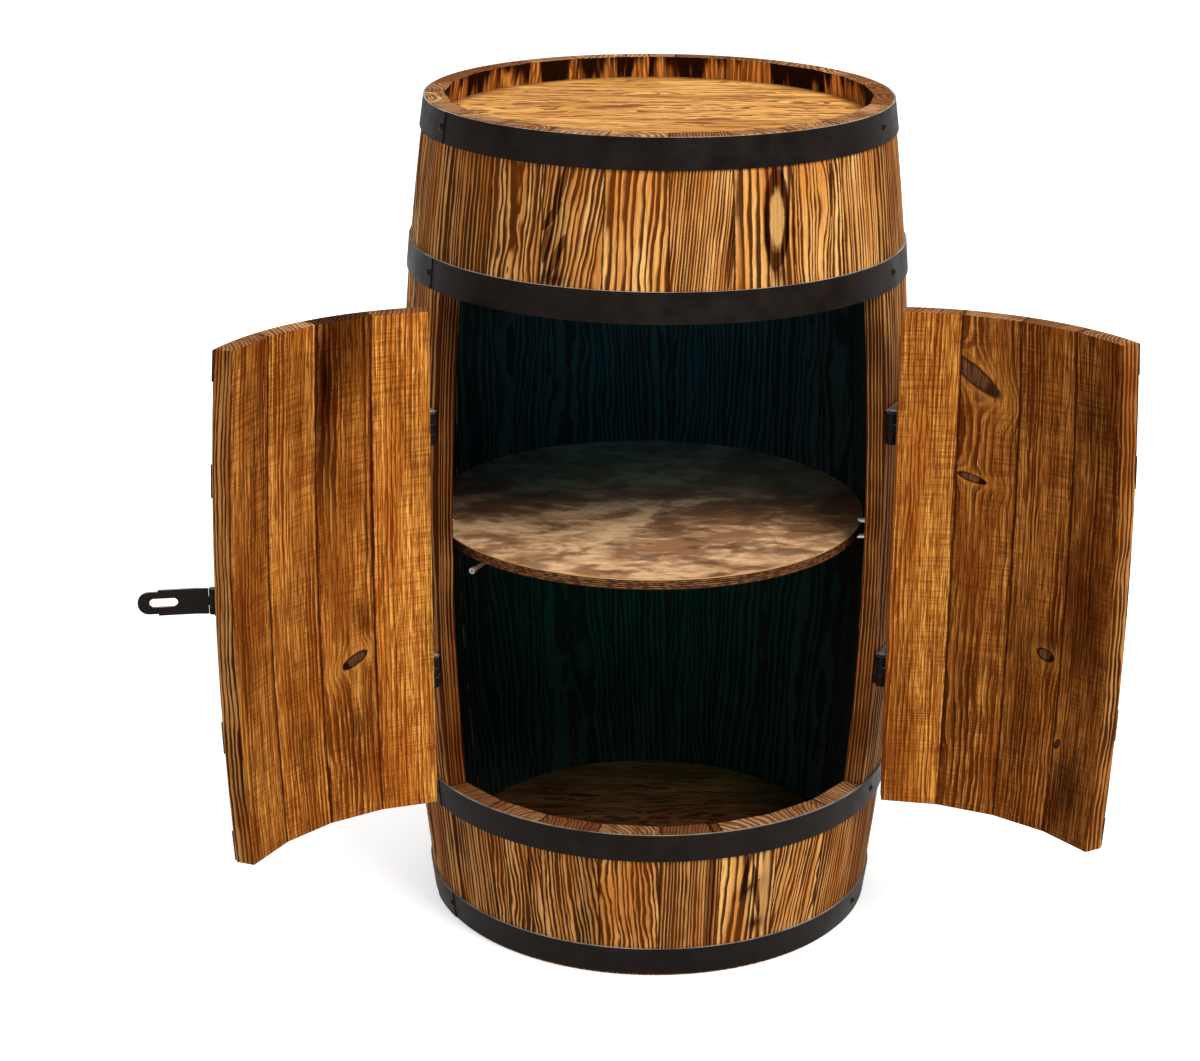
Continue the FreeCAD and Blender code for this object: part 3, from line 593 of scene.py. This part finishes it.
def shelf_finish():
    """Plywood round: rubbed, scorched face darkening toward the back as painted shadow, and a dark layered
    edge.
    """
    material, tree, inputs = finish("burnt_plywood_round", Roughness=0.6, Specular_IOR_Level=OILED_GLOSS)
    point, facing = surface(tree)
    x, y, z = split(tree, point)
    grain = use(tree, GROWTH_RINGS, Board=join(tree, y, minus(tree, SHELF_TOP, z), x), Pith_Across=0.02,
                Pith_Depth=0.15, Ring_Width=0.010, Wander=0.03, Dark_Share=0.45, Seed=9.0)
    blotch = noise(tree, point, (17.0, 28.0, 1.0), 5.0, 0.62, 0.3)
    face = stain(tree, rgb(1.0, 0.64, 0.35), blotch, 0.42, 0.60, rgb(0.42, 0.205, 0.095))
    smudge = noise(tree, point, (26.0, 46.0, 1.0), 4.0, 0.6, 0.4)
    face = stain(tree, face, smudge, 0.47, 0.62, rgb(0.13, 0.060, 0.028), 0.72)
    face = tint(tree, times(tree, grain["Latewood"], 0.16), face, rgb(0.30, 0.14, 0.060))
    face = stain(tree, face, grain["Streak"], 0.45, 0.62, rgb(0.28, 0.13, 0.055), 0.30)
    # The face goes nearly black toward the back: a painted shadow of the lintel over the shelf's rear.
    depth = times_plus(tree, blotch, 0.10, y)
    face = stain(tree, face, depth, -0.06, 0.10, rgb(0.030, 0.020, 0.014), 0.88)
    fine = noise(tree, point, (170.0, 420.0, 1.0), 3.0, 0.65)
    face = stain(tree, face, fine, 0.52, 0.68, rgb(0.16, 0.06, 0.022), 0.30)
    layer = calc(tree, "FRACT", over(tree, minus(tree, SHELF_TOP, z), SHELF_LAYER))
    ragged = noise(tree, point, (150.0, 150.0, 420.0), 3.0, 0.6)
    edge = stain(tree, rgb(0.28, 0.12, 0.038), layer, 0.35, 0.6, rgb(0.060, 0.022, 0.008))
    edge = stain(tree, edge, ragged, 0.38, 0.60, rgb(0.024, 0.008, 0.003), 0.85)
    edge = stain(tree, edge, z, SHELF_TOP - 0.0012, SHELF_TOP - 0.0008, rgb(0.60, 0.32, 0.12))
    upward = absolute(tree, split(tree, facing)[2])
    feed(tree, stain(tree, edge, upward, 0.4, 0.6, face), inputs["Base Color"])
    bump(tree, plus(tree, grain["Fibre"], ragged), 0.35, 0.0005, inputs)
    return material


def iron_finish(name, base=0.0072, gloss=0.46):
    """Satin black iron with a faint rolled mottle; flat edges lighter, partly rubbed steel, partly painted
    highlight.
    """
    material, tree, inputs = finish(name, Specular_IOR_Level=IRON_GLOSS)
    point, facing = surface(tree)
    mottle = noise(tree, point, 38.0, 5.0, 0.62)
    fine = noise(tree, point, (260.0, 260.0, 900.0), 3.0, 0.6)
    colour = stain(tree, rgb(base * 0.7, base * 0.42, base * 0.32), mottle, 0.3, 0.75,
                   rgb(base * 1.9, base * 1.3, base))
    colour = stain(tree, colour, fine, 0.62, 0.78, rgb(0.045, 0.034, 0.027), 0.35)
    # Flat top and bottom faces get a pale colour: partly rubbed bare steel, partly painted highlight.
    edge = ease(tree, absolute(tree, split(tree, facing)[2]), 0.80, 0.95, 0.0, 0.8)
    edge = times(tree, edge, ease(tree, mottle, 0.3, 0.6, 0.35, 1.0))
    feed(tree, tint(tree, edge, colour, rgb(0.42, 0.37, 0.32)), inputs["Base Color"])
    feed(tree, ease(tree, mottle, 0.3, 0.7, gloss - 0.07, gloss + 0.10), inputs["Roughness"])
    bump(tree, plus(tree, mottle, times(tree, fine, 0.35)), 0.25, 0.0006, inputs)
    return material


def zinc_finish():
    """Bright turned steel with fine scratches."""
    material, tree, inputs = finish("zinc_steel_turned", Metallic=0.9)
    point, _ = surface(tree)
    scratch = noise(tree, point, (700.0, 700.0, 2600.0), 3.0, 0.6)
    feed(tree, tint(tree, scratch, rgb(0.42, 0.41, 0.39), rgb(0.66, 0.65, 0.62)), inputs["Base Color"])
    feed(tree, ease(tree, scratch, 0.3, 0.7, 0.26, 0.42), inputs["Roughness"])
    return material


def light_strip_finish():
    """Pale tape with small blue-green lamps along it."""
    material, tree, inputs = finish("light_strip_glow", Emission_Strength=14.0, Roughness=0.4)
    point, facing = surface(tree)
    spot = use(tree, BARREL_PLACE, Point=point, Facing=facing)
    count = over(tree, spot["Bearing"], LAMP_STEP)
    step = absolute(tree, minus(tree, calc(tree, "FRACT", count), 0.5))
    lamp = ease(tree, step, 0.10, 0.15, 1.0, 0.0)
    facing_in = ease(tree, spot["Outward"], -0.6, -0.4, 1.0, 0.0)
    lamp = times(tree, lamp, facing_in)
    feed(tree, tint(tree, lamp, rgb(0.55, 0.60, 0.60), rgb(0.5, 0.95, 1.0)), inputs["Base Color"])
    feed(tree, tint(tree, lamp, rgb(0.01, 0.06, 0.07), rgb(0.10, 0.72, 1.0)), inputs["Emission Color"])
    return material


def plastic_finish():
    """Black moulded case with a fine spark texture."""
    material, tree, inputs = finish("black_plastic_case", Roughness=0.5)
    point, _ = surface(tree)
    grit = noise(tree, point, 2400.0, 2.0)
    feed(tree, tint(tree, grit, rgb(0.014, 0.014, 0.015), rgb(0.03, 0.03, 0.031)), inputs["Base Color"])
    bump(tree, grit, 0.3, 0.0002, inputs)
    return material


# ---- figures of the staves, by number, from the left hinge to the right one or from the free edge ----
# (pith across, pith depth, ring width, wander, slant, dark share, tone, knots, shades, bands, blots, side)
LINTEL_FIGURES = [
    figure(0.06, 0.010, 0.0048, 0.004, 0.00, 0.50, 0.62),
    figure(-0.003, 0.007, 0.0050, 0.011, 0.00, 0.46, 0.30),
    figure(-0.030, 0.010, 0.0052, 0.008, -0.12, 0.46, 0.18, (),
           [(-0.0170, 0.720, 0.0120, 0.060, 0.10, 0.45), (-0.0170, 0.674, 0.0150, 0.007, 0.0, 0.9)], (),
           [(-0.0125, 0.752, 0.0040, 0.024, 0.28, 0.9), (-0.0205, 0.728, 0.0036, 0.017, 0.60, 0.9),
            (-0.0235, 0.704, 0.0034, 0.018, 0.20, 0.9), (-0.0140, 0.694, 0.0038, 0.022, 0.40, 0.9)]),
    figure(-0.07, 0.012, 0.0060, 0.006, -0.05, 0.48, 0.08),
    figure(0.08, 0.012, 0.0028, 0.003, -0.11, 0.42, 0.26,
           blots=[(0.0262, 0.70, 0.0024, 0.034, 0.10, 0.85)]),
    figure(-0.055, 0.012, 0.0078, 0.004, 0.00, 0.46, 0.10,
           [(0.0122, 0.726, 0.0170, 0.050, 0.02, 0.0, 1.1, 0.0)],
           [(0.0130, 0.768, 0.0095, 0.009, 0.2, 0.9), (0.0130, 0.680, 0.0085, 0.012, -0.2, 0.9)],
           [(0.0122, 0.726, 0.0128, 0.046, 0.03, 1.0)]),
    figure(0.07, 0.012, 0.0046, 0.010, 0.00, 0.42, 0.14,
           [(0.010, 0.742, 0.006, 0.030, 0.0, 0.9, 0.0, 0.0)],
           blots=[(0.0165, 0.745, 0.0022, 0.024, 0.04, 0.92)]),
    figure(0.08, 0.012, 0.0042, 0.004, 0.00, 0.42, 0.20),
]
SILL_FIGURES = [
    figure(0.08, 0.012, 0.0046, 0.004, 0.03, 0.50, 0.60),
    figure(0.05, 0.010, 0.0044, 0.009, 0.02, 0.48, 0.34,
           [(0.0, 0.070, 0.010, 0.030, 0.0, 0.8, 0.0, 0.0)],
           blots=[(0.016, 0.10, 0.0024, 0.028, 0.05, 0.85)]),
    figure(-0.05, 0.010, 0.0038, 0.010, 0.05, 0.48, 0.48, (), [(0.018, 0.085, 0.009, 0.09, 0.0, 0.45)]),
    figure(-0.03, 0.010, 0.0046, 0.012, 0.03, 0.46, 0.24),
    figure(0.09, 0.010, 0.0033, 0.003, 0.00, 0.50, 0.50, blots=[(0.0205, 0.08, 0.0036, 0.09, 0.0, 0.8)]),
    figure(-0.045, 0.012, 0.0080, 0.005, 0.00, 0.38, 0.06,
           [(0.006, 0.085, 0.012, 0.040, 0.0, 0.0, 0.7, 0.0)],
           [(0.0125, 0.048, 0.0085, 0.0075, 0.0, 1.0), (0.0040, 0.088, 0.0095, 0.016, 0.9, 0.7)],
           bands=[(0.0190, 0.085, 0.0080, 0.075, 0.0, 0.0)],
           blots=[(-0.0035, 0.101, 0.0030, 0.027, 0.16, 0.9), (0.0100, 0.084, 0.0032, 0.031, -0.18, 0.9),
                  (0.0035, 0.0895, 0.0026, 0.0120, 0.95, 0.9)]),
    figure(0.024, 0.010, 0.0046, 0.008, -0.12, 0.44, 0.20),
    figure(0.08, 0.012, 0.0042, 0.004, -0.05, 0.48, 0.48),
]
LEFT_DOOR_FIGURES = [
    figure(0.050, 0.020, 0.0036, 0.005, 0.02, 0.44, 0.44, (),
           [(-0.010, 0.57, 0.014, 0.07, 0.0, 0.35), (0.014, 0.36, 0.010, 0.10, 0.0, 0.25)], side_stain_and_shade=0.40),
    figure(0.06, 0.014, 0.0037, 0.004, 0.00, 0.46, 0.20, (),
           [(-0.006, 0.42, 0.012, 0.15, 0.05, 0.25), (-0.008, 0.56, 0.012, 0.06, 0.0, 0.35),
            (0.000, 0.24, 0.018, 0.06, 0.1, 0.35)]),
    figure(0.04, 0.016, 0.0039, 0.005, 0.00, 0.50, 0.26,
           [(-0.0063, 0.3104, 0.0052, 0.0135, -1.13, 0.6, 2.2, 1.0)],
           [(0.018, 0.58, 0.015, 0.13, 0.0, 1.0), (0.000, 0.625, 0.040, 0.080, 0.0, 0.85),
            (-0.012, 0.470, 0.008, 0.03, 0.2, 0.35),
            (-0.014, 0.350, 0.010, 0.018, 0.5, 0.50), (-0.002, 0.235, 0.022, 0.045, 0.0, 0.50)]),
    figure(0.07, 0.014, 0.0040, 0.003, 0.00, 0.38, 0.00, (),
           [(-0.006, 0.52, 0.008, 0.060, 0.2, 0.35), (-0.025, 0.40, 0.003, 0.25, 0.0, 0.35)]),
]
RIGHT_DOOR_FIGURES = [
    figure(-0.050, 0.020, 0.0037, 0.006, 0.00, 0.48, 0.68,
           [(0.0230, 0.246, 0.0030, 0.0055, -0.5, 0.5, 1.5, 0.8)],
           [(0.000, 0.36, 0.022, 0.070, 0.1, 0.55), (0.004, 0.208, 0.022, 0.045, 0.1, 0.85),
            (0.000, 0.56, 0.022, 0.05, 0.1, 0.50)], side_stain_and_shade=0.05),
    figure(0.07, 0.014, 0.0039, 0.005, 0.00, 0.50, 0.62,
           [(-0.0122, 0.3268, 0.0052, 0.0090, 1.25, 0.6, 1.8, 1.0)],
           [(-0.004, 0.334, 0.024, 0.018, 0.4, 0.75), (0.010, 0.25, 0.012, 0.06, 0.0, 0.45)]),
    figure(0.04, 0.016, 0.0046, 0.006, 0.00, 0.46, 0.56,
           [(0.0145, 0.579, 0.0080, 0.0285, 0.93, 0.6, 3.6, 0.75),
            (0.0133, 0.4816, 0.0036, 0.0135, 1.33, 0.5, 2.2, 1.0)],
           [(0.004, 0.560, 0.014, 0.008, 0.9, 0.55), (-0.02, 0.60, 0.010, 0.05, 0.0, 0.40),
            (0.010, 0.28, 0.016, 0.08, 0.0, 0.35)]),
    figure(0.07, 0.014, 0.0038, 0.004, 0.00, 0.42, 0.20, (), [(0.012, 0.24, 0.012, 0.09, 0.0, 0.35)]),
]


BODY_SPANS = ((-0.06, 0.06), (0.006, 0.02), (0.0038, 0.0060), (0.004, 0.011), (-0.06, 0.06), (0.42, 0.50),
              (0.1, 0.5))


def body_figures():
    """Figures of the full-length staves: a fixed spread of ring widths and tones, dark at the doorway."""
    spread = random.Random(11)
    made = [figure(*[spread.uniform(low, high) for low, high in BODY_SPANS]) for _ in BODY_JOINTS[:-1]]
    # The jambs' sawn sides: the left one darker, the right one lighter, partly as painted shade.
    made[0] = figure(-0.04, 0.05, 0.0034, 0.002, 0.0, 0.50, 0.68, side_stain_and_shade=0.10)
    made[-1] = figure(0.04, 0.05, 0.0032, 0.002, 0.0, 0.50, 0.55, side_stain_and_shade=0.70)
    return made


def put_on(node, material):
    """Gives a node its finish in its own material slot."""
    for slot in nodes[node].material_slots:
        slot.material = material


def finish_wood():
    """Finishes of the staves: two rows of short ones, the long ones and the doors."""
    put_on("lintel_staves", stave_finish("charred_lintel", LINTEL_FIGURES, seed=2.0))
    put_on("sill_staves", stave_finish("charred_sill", SILL_FIGURES, seed=31.0))
    for number, one in enumerate(body_figures()):
        start, end = BODY_JOINTS[number:number + 2]
        node = f"stave_{number + 1:02d}"
        put_on(node, stave_finish("charred_" + node, [one], (start + end) / 2, seed=number * 2.3 + 50,
                                  width=end - start))
    for side, sign, figures in (("left", -1, LEFT_DOOR_FIGURES), ("right", 1, RIGHT_DOOR_FIGURES)):
        for number, one in enumerate(figures):
            middle = sign * (number + 0.5) * STAVE_PITCH
            board = stave_finish(f"{side}_door_board_{number + 1}", [one], middle, side,
                                 number * 3.1 + 90, "sawn")
            put_on(f"{side}_door_stave_{number + 1}", board)


def finish_rest():
    """Finishes of the heads, the iron, the bright steel, the shelf and the light."""
    iron, zinc = iron_finish("black_iron_strip"), zinc_finish()
    golden = rgb(0.94, 0.52, 0.16), rgb(0.60, 0.26, 0.05), rgb(0.18, 0.055, 0.010)
    # The bottom head and stop block in the lower part are darker copies of the head finish: partly
    # smoke-darkened wood, partly painted shade.
    smoke_and_shade = rgb(0.17, 0.070, 0.026), rgb(0.080, 0.028, 0.010), rgb(0.025, 0.008, 0.003)
    block = rgb(0.30, 0.13, 0.045), rgb(0.15, 0.055, 0.018), rgb(0.045, 0.014, 0.005)
    put_on("top_head", head_finish("golden_pine_head", *golden, HEIGHT - RIM_TO_HEAD, 4.0))
    put_on("bottom_head", head_finish("smoke_and_shade_pine_head", *smoke_and_shade, RIM_TO_HEAD + HEAD_THICK, 17.0))
    put_on("stop_block", head_finish("smoke_and_shade_pine_block", *block, BLOCK_FACE, 23.0))
    for node, obj in nodes.items():
        slots = [slot.material.name for slot in obj.material_slots if slot.material]
        if any(name.startswith("black_steel") for name in slots):
            put_on(node, iron)
    for node in ("left_hinge_pins", "right_hinge_pins", "hasp_pin"):
        put_on(node, iron)
    for node in ("shelf_pegs", "stop_pin"):
        put_on(node, zinc)
    put_on("shelf", shelf_finish())
    put_on("led_strip", light_strip_finish())
    put_on("battery_box", plastic_finish())


def added(name, data):
    """A new object in the scene."""
    obj = bpy.data.objects.new(name, data)
    bpy.context.scene.collection.objects.link(obj)
    return obj


# ---- screws ----
def screw_tree():
    """Geometry nodes that stand a domed, crossed head on each point, facing along its outward direction."""
    tree = bpy.data.node_groups.new("screw_heads", "GeometryNodeTree")
    tree.is_modifier = True
    for name, kind in (("Places", "Geometry"), ("Head Radius", "Float"), ("Finish", "Material")):
        tree.interface.new_socket(name, in_out="INPUT", socket_type="NodeSocket" + kind)
    tree.interface.new_socket("Heads", in_out="OUTPUT", socket_type="NodeSocketGeometry")
    given = tree.nodes.new("NodeGroupInput").outputs
    result = tree.nodes.new("NodeGroupOutput").inputs
    radius = given["Head Radius"]

    def block(width, depth, height, rise):
        """A box in head radii, lifted by a share of the radius."""
        size = vec(tree, "SCALE", (width, depth, height))
        tree.links.new(radius, size.node.inputs["Scale"])
        lift = vec(tree, "SCALE", (0.0, 0.0, rise))
        tree.links.new(radius, lift.node.inputs["Scale"])
        cube = place(tree, "GeometryNodeMeshCube", [("Size", size)]).outputs["Mesh"]
        moved = [("Geometry", cube), ("Translation", lift)]
        return place(tree, "GeometryNodeTransform", moved).outputs[0]

    def cut(shape, *tools):
        """The shape less its tools."""
        meshes = [("Mesh 1", shape)] + [("Mesh 2", tool) for tool in tools]
        return place(tree, "GeometryNodeMeshBoolean", meshes, operation="DIFFERENCE").outputs["Mesh"]

    ball = place(tree, "GeometryNodeMeshUVSphere", [("Segments", 20), ("Rings", 12), ("Radius", radius)])
    squash = [("Geometry", ball.outputs["Mesh"]), ("Scale", (1.0, 1.0, DOME))]
    dome = cut(place(tree, "GeometryNodeTransform", squash).outputs[0], block(4.0, 4.0, 2.0, -1.1))
    long, narrow = CROSS_SLOT
    head = cut(dome, block(long, narrow, 0.5, 0.5), block(narrow, long, 0.5, 0.5))
    outward = place(tree, "GeometryNodeInputNamedAttribute", [("Name", "outward")],
                    data_type="FLOAT_VECTOR")
    aim = place(tree, "FunctionNodeAlignRotationToVector", [("Vector", outward.outputs[0])], axis="Z")
    spin = place(tree, "FunctionNodeRandomValue", [(3, math.pi), ("Seed", 5)], data_type="FLOAT")
    about = [("Axis", (0.0, 0.0, 1.0)), ("Angle", spin.outputs[1])]
    turn = place(tree, "FunctionNodeAxisAngleToRotation", about)
    both = place(tree, "FunctionNodeRotateRotation", [(0, aim.outputs[0]), (1, turn.outputs[0])],
                 rotation_space="LOCAL")
    stand = [("Points", given["Places"]), ("Instance", head), ("Rotation", both.outputs[0])]
    stand = place(tree, "GeometryNodeInstanceOnPoints", stand)
    real = place(tree, "GeometryNodeRealizeInstances", [(0, stand.outputs[0])])
    coat = [("Geometry", real.outputs[0]), ("Material", given["Finish"])]
    feed(tree, place(tree, "GeometryNodeSetMaterial", coat).outputs[0], result[0])
    return tree


def outside_radius(height):
    """Radius of the barrel's bowed outside at a height."""
    return BELLY_RADIUS - BOW_RADIUS + math.sqrt(BOW_RADIUS ** 2 - (height - HEIGHT / 2) ** 2)


def strip_spot(band, bearing, height=None, thickness=IRON):
    """Point on the outer face of a straight iron strip, with the direction away from it. A band is its
    lower and upper edge, and without a height the point is midway."""
    low, high = band
    if height is None:
        height = (low + high) / 2
    share = (height - low) / (high - low)
    radius = outside_radius(low) * (1 - share) + outside_radius(high) * share + thickness
    lean = (outside_radius(low) - outside_radius(high)) / (high - low)
    angle = math.radians(bearing)
    spot = Vector((radius * math.sin(angle), -radius * math.cos(angle), height))
    return spot, Vector((math.sin(angle), -math.cos(angle), lean)).normalized()


def opened(spots, side):
    """Shut-door places turned about the hinge to where the door rests."""
    centre, turn = HINGES[side]
    swing = Matrix.Rotation(math.radians(-turn), 4, "Z")
    centre = Vector(centre)
    return [(swing @ (spot - centre) + centre, swing @ away) for spot, away in spots]


def heads(name, spots, radius, body, coat, tree):
    """Screw heads at the given places, as one plain mesh that rides on a body."""
    mesh = bpy.data.meshes.new(name + "_places")
    mesh.from_pydata([spot for spot, _ in spots], [], [])
    outward = mesh.attributes.new("outward", "FLOAT_VECTOR", "POINT")
    for item, (_, away) in zip(outward.data, spots):
        item.vector = away
    carrier = added(name + "_carrier", mesh)
    modifier = carrier.modifiers.new("heads", "NODES")
    modifier.node_group = tree
    wanted = {"Head Radius": radius, "Finish": coat}
    for item in tree.interface.items_tree:
        if item.name in wanted:
            modifier[item.identifier] = wanted[item.name]
    made = bpy.data.meshes.new_from_object(carrier.evaluated_get(bpy.context.evaluated_depsgraph_get()))
    carrier.modifiers.clear()
    bpy.data.objects.remove(carrier)
    piece = added(name, made)
    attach(piece, body)


def fit_screws():
    """Screws of the hoops, the bilge bands, the doors' straps, the hasp plate and the staple."""
    tree = screw_tree()
    black = iron_finish("blackened_screw", 0.009, 0.34)
    body = [strip_spot(band, bearing, thickness=IRON + LAP if bearing == LAP_BEARING else IRON)
            for band in HOOPS for bearing in HOOP_SCREWS]
    for band in BILGE_BANDS:
        body += [strip_spot(band, bearing) for bearing in BAND_SCREWS]
        body += [strip_spot(band, bearing, height) for bearing in (-LEAF_SCREWS, LEAF_SCREWS)
                 for height in (band[0] + SCREW_INSET, band[1] - SCREW_INSET)]
    heads("hoop_screws", body, SCREW_RADIUS, "cabinet", black, tree)
    for side, sign in (("left", -1), ("right", 1)):
        door = [strip_spot(band, sign * bearing) for band in DOOR_STRAPS for bearing in STRAP_SCREWS]
        door += [strip_spot(band, sign * bearing) for band in BILGE_BANDS for bearing in HINGE_SCREWS]
        heads(side + "_door_screws", opened(door, side), SCREW_RADIUS, side + "_door", black, tree)
    for name, side, bearing, heights, radius in HASP_SCREWS:
        spots = [strip_spot(HASP_BAND, bearing, height) for height in heights]
        heads(name, opened(spots, side), radius, side + "_door", black, tree)


# ---- room, lamps and camera ----
def floor():
    """Pale floor that takes shadows and glows toward the camera."""
    mesh = bpy.data.meshes.new("floor")
    shape = bmesh.new()
    bmesh.ops.create_grid(shape, x_segments=1, y_segments=1, size=9.0)
    shape.to_mesh(mesh)
    shape.free()
    plane = added("floor", mesh)
    material, tree, inputs = finish("pale_floor", Base_Color=rgb(0.82, 0.82, 0.81), Roughness=0.9,
                                    Emission_Color=WHITE)
    rays = tree.nodes.new("ShaderNodeLightPath").outputs
    seen = most(tree, rays["Is Camera Ray"], rays["Is Glossy Ray"])
    away = vec(tree, "LENGTH", surface(tree)[0])
    feed(tree, times(tree, seen, ease(tree, away, 0.4, 1.6, 0.55, 1.0)), inputs["Emission Strength"])
    plane.data.materials.append(material)


def surroundings():
    """White seen by the camera, and a soft grey that lights the barrel."""
    world = bpy.data.worlds.new("studio")
    bpy.context.scene.world = world
    world.use_nodes = True
    tree = world.node_tree
    rays = tree.nodes.new("ShaderNodeLightPath").outputs
    seen = most(tree, rays["Is Camera Ray"], rays["Is Transmission Ray"])
    colour = tint(tree, seen, rgb(0.34, 0.34, 0.35), WHITE)
    feed(tree, colour, tree.nodes["Background"].inputs["Color"])


def lamp(name, at, aim, size, power, colour=(1.0, 1.0, 1.0), spread=180.0):
    """Rectangular lamp that shines from one point toward another."""
    light = bpy.data.lights.new(name, "AREA")
    light.spread = math.radians(spread)
    light.shape = "RECTANGLE"
    light.size, light.size_y = size
    light.energy = power
    light.color = colour
    obj = added(name, light)
    obj.location = at
    obj.rotation_euler = (Vector(aim) - Vector(at)).to_track_quat("-Z", "Y").to_euler()


def lamps():
    """Three lamps of the room, and the glow of the light strip above and below the shelf."""
    lamp("key", (1.5, -2.0, 3.0), (0.0, 0.0, 0.4), (1.6, 1.6), 112.0, (1.0, 0.98, 0.95))
    lamp("fill", (-2.6, -2.4, 1.6), (0.0, 0.0, 0.4), (1.6, 1.6), 18.0, (1.0, 0.98, 0.96))
    lamp("top", (0.0, 0.3, 2.9), (0.0, 0.0, 0.5), (1.6, 1.6), 26.0)
    lamp("strip_glow", (0.0, -0.175, 0.64), (0.0, 0.2, 0.5), (0.24, 0.02), 0.17, (0.04, 0.58, 1.0), 80.0)
    lamp("lower_glow", (0.0, 0.0, 0.36), (0.0, 0.2, 0.2), (0.16, 0.04), 0.12, (0.0, 0.80, 0.62), 110.0)


CAMERA_AT = (-0.11158, -2.44776, 1.2319)
CAMERA_TURN = (1.3926, 19.3818, -0.3589)
CAMERA_LENS = 79.744


def camera():
    """Camera a little left of the barrel and above it, turned by yaw, pitch and roll in degrees."""
    yaw, pitch, roll = (math.radians(value) for value in CAMERA_TURN)
    forward = Vector((math.sin(yaw) * math.cos(pitch), math.cos(yaw) * math.cos(pitch), -math.sin(pitch)))
    right = Vector((math.cos(yaw), -math.sin(yaw), 0.0))
    down = forward.cross(right)
    level = math.cos(roll) * right + math.sin(roll) * down
    plumb = -math.sin(roll) * right + math.cos(roll) * down
    data = bpy.data.cameras.new("camera")
    data.lens = CAMERA_LENS
    data.sensor_width = 36.0
    data.sensor_fit = "HORIZONTAL"
    data.clip_end = 50.0
    obj = added("camera", data)
    turn = Matrix((level, -plumb, -forward)).transposed()
    obj.matrix_world = Matrix.Translation(CAMERA_AT) @ turn.to_4x4()
    bpy.context.scene.camera = obj


camera()
bpy.context.scene.view_settings.view_transform = "Standard"
surroundings()
lamps()
floor()
finish_wood()
finish_rest()
fit_screws()
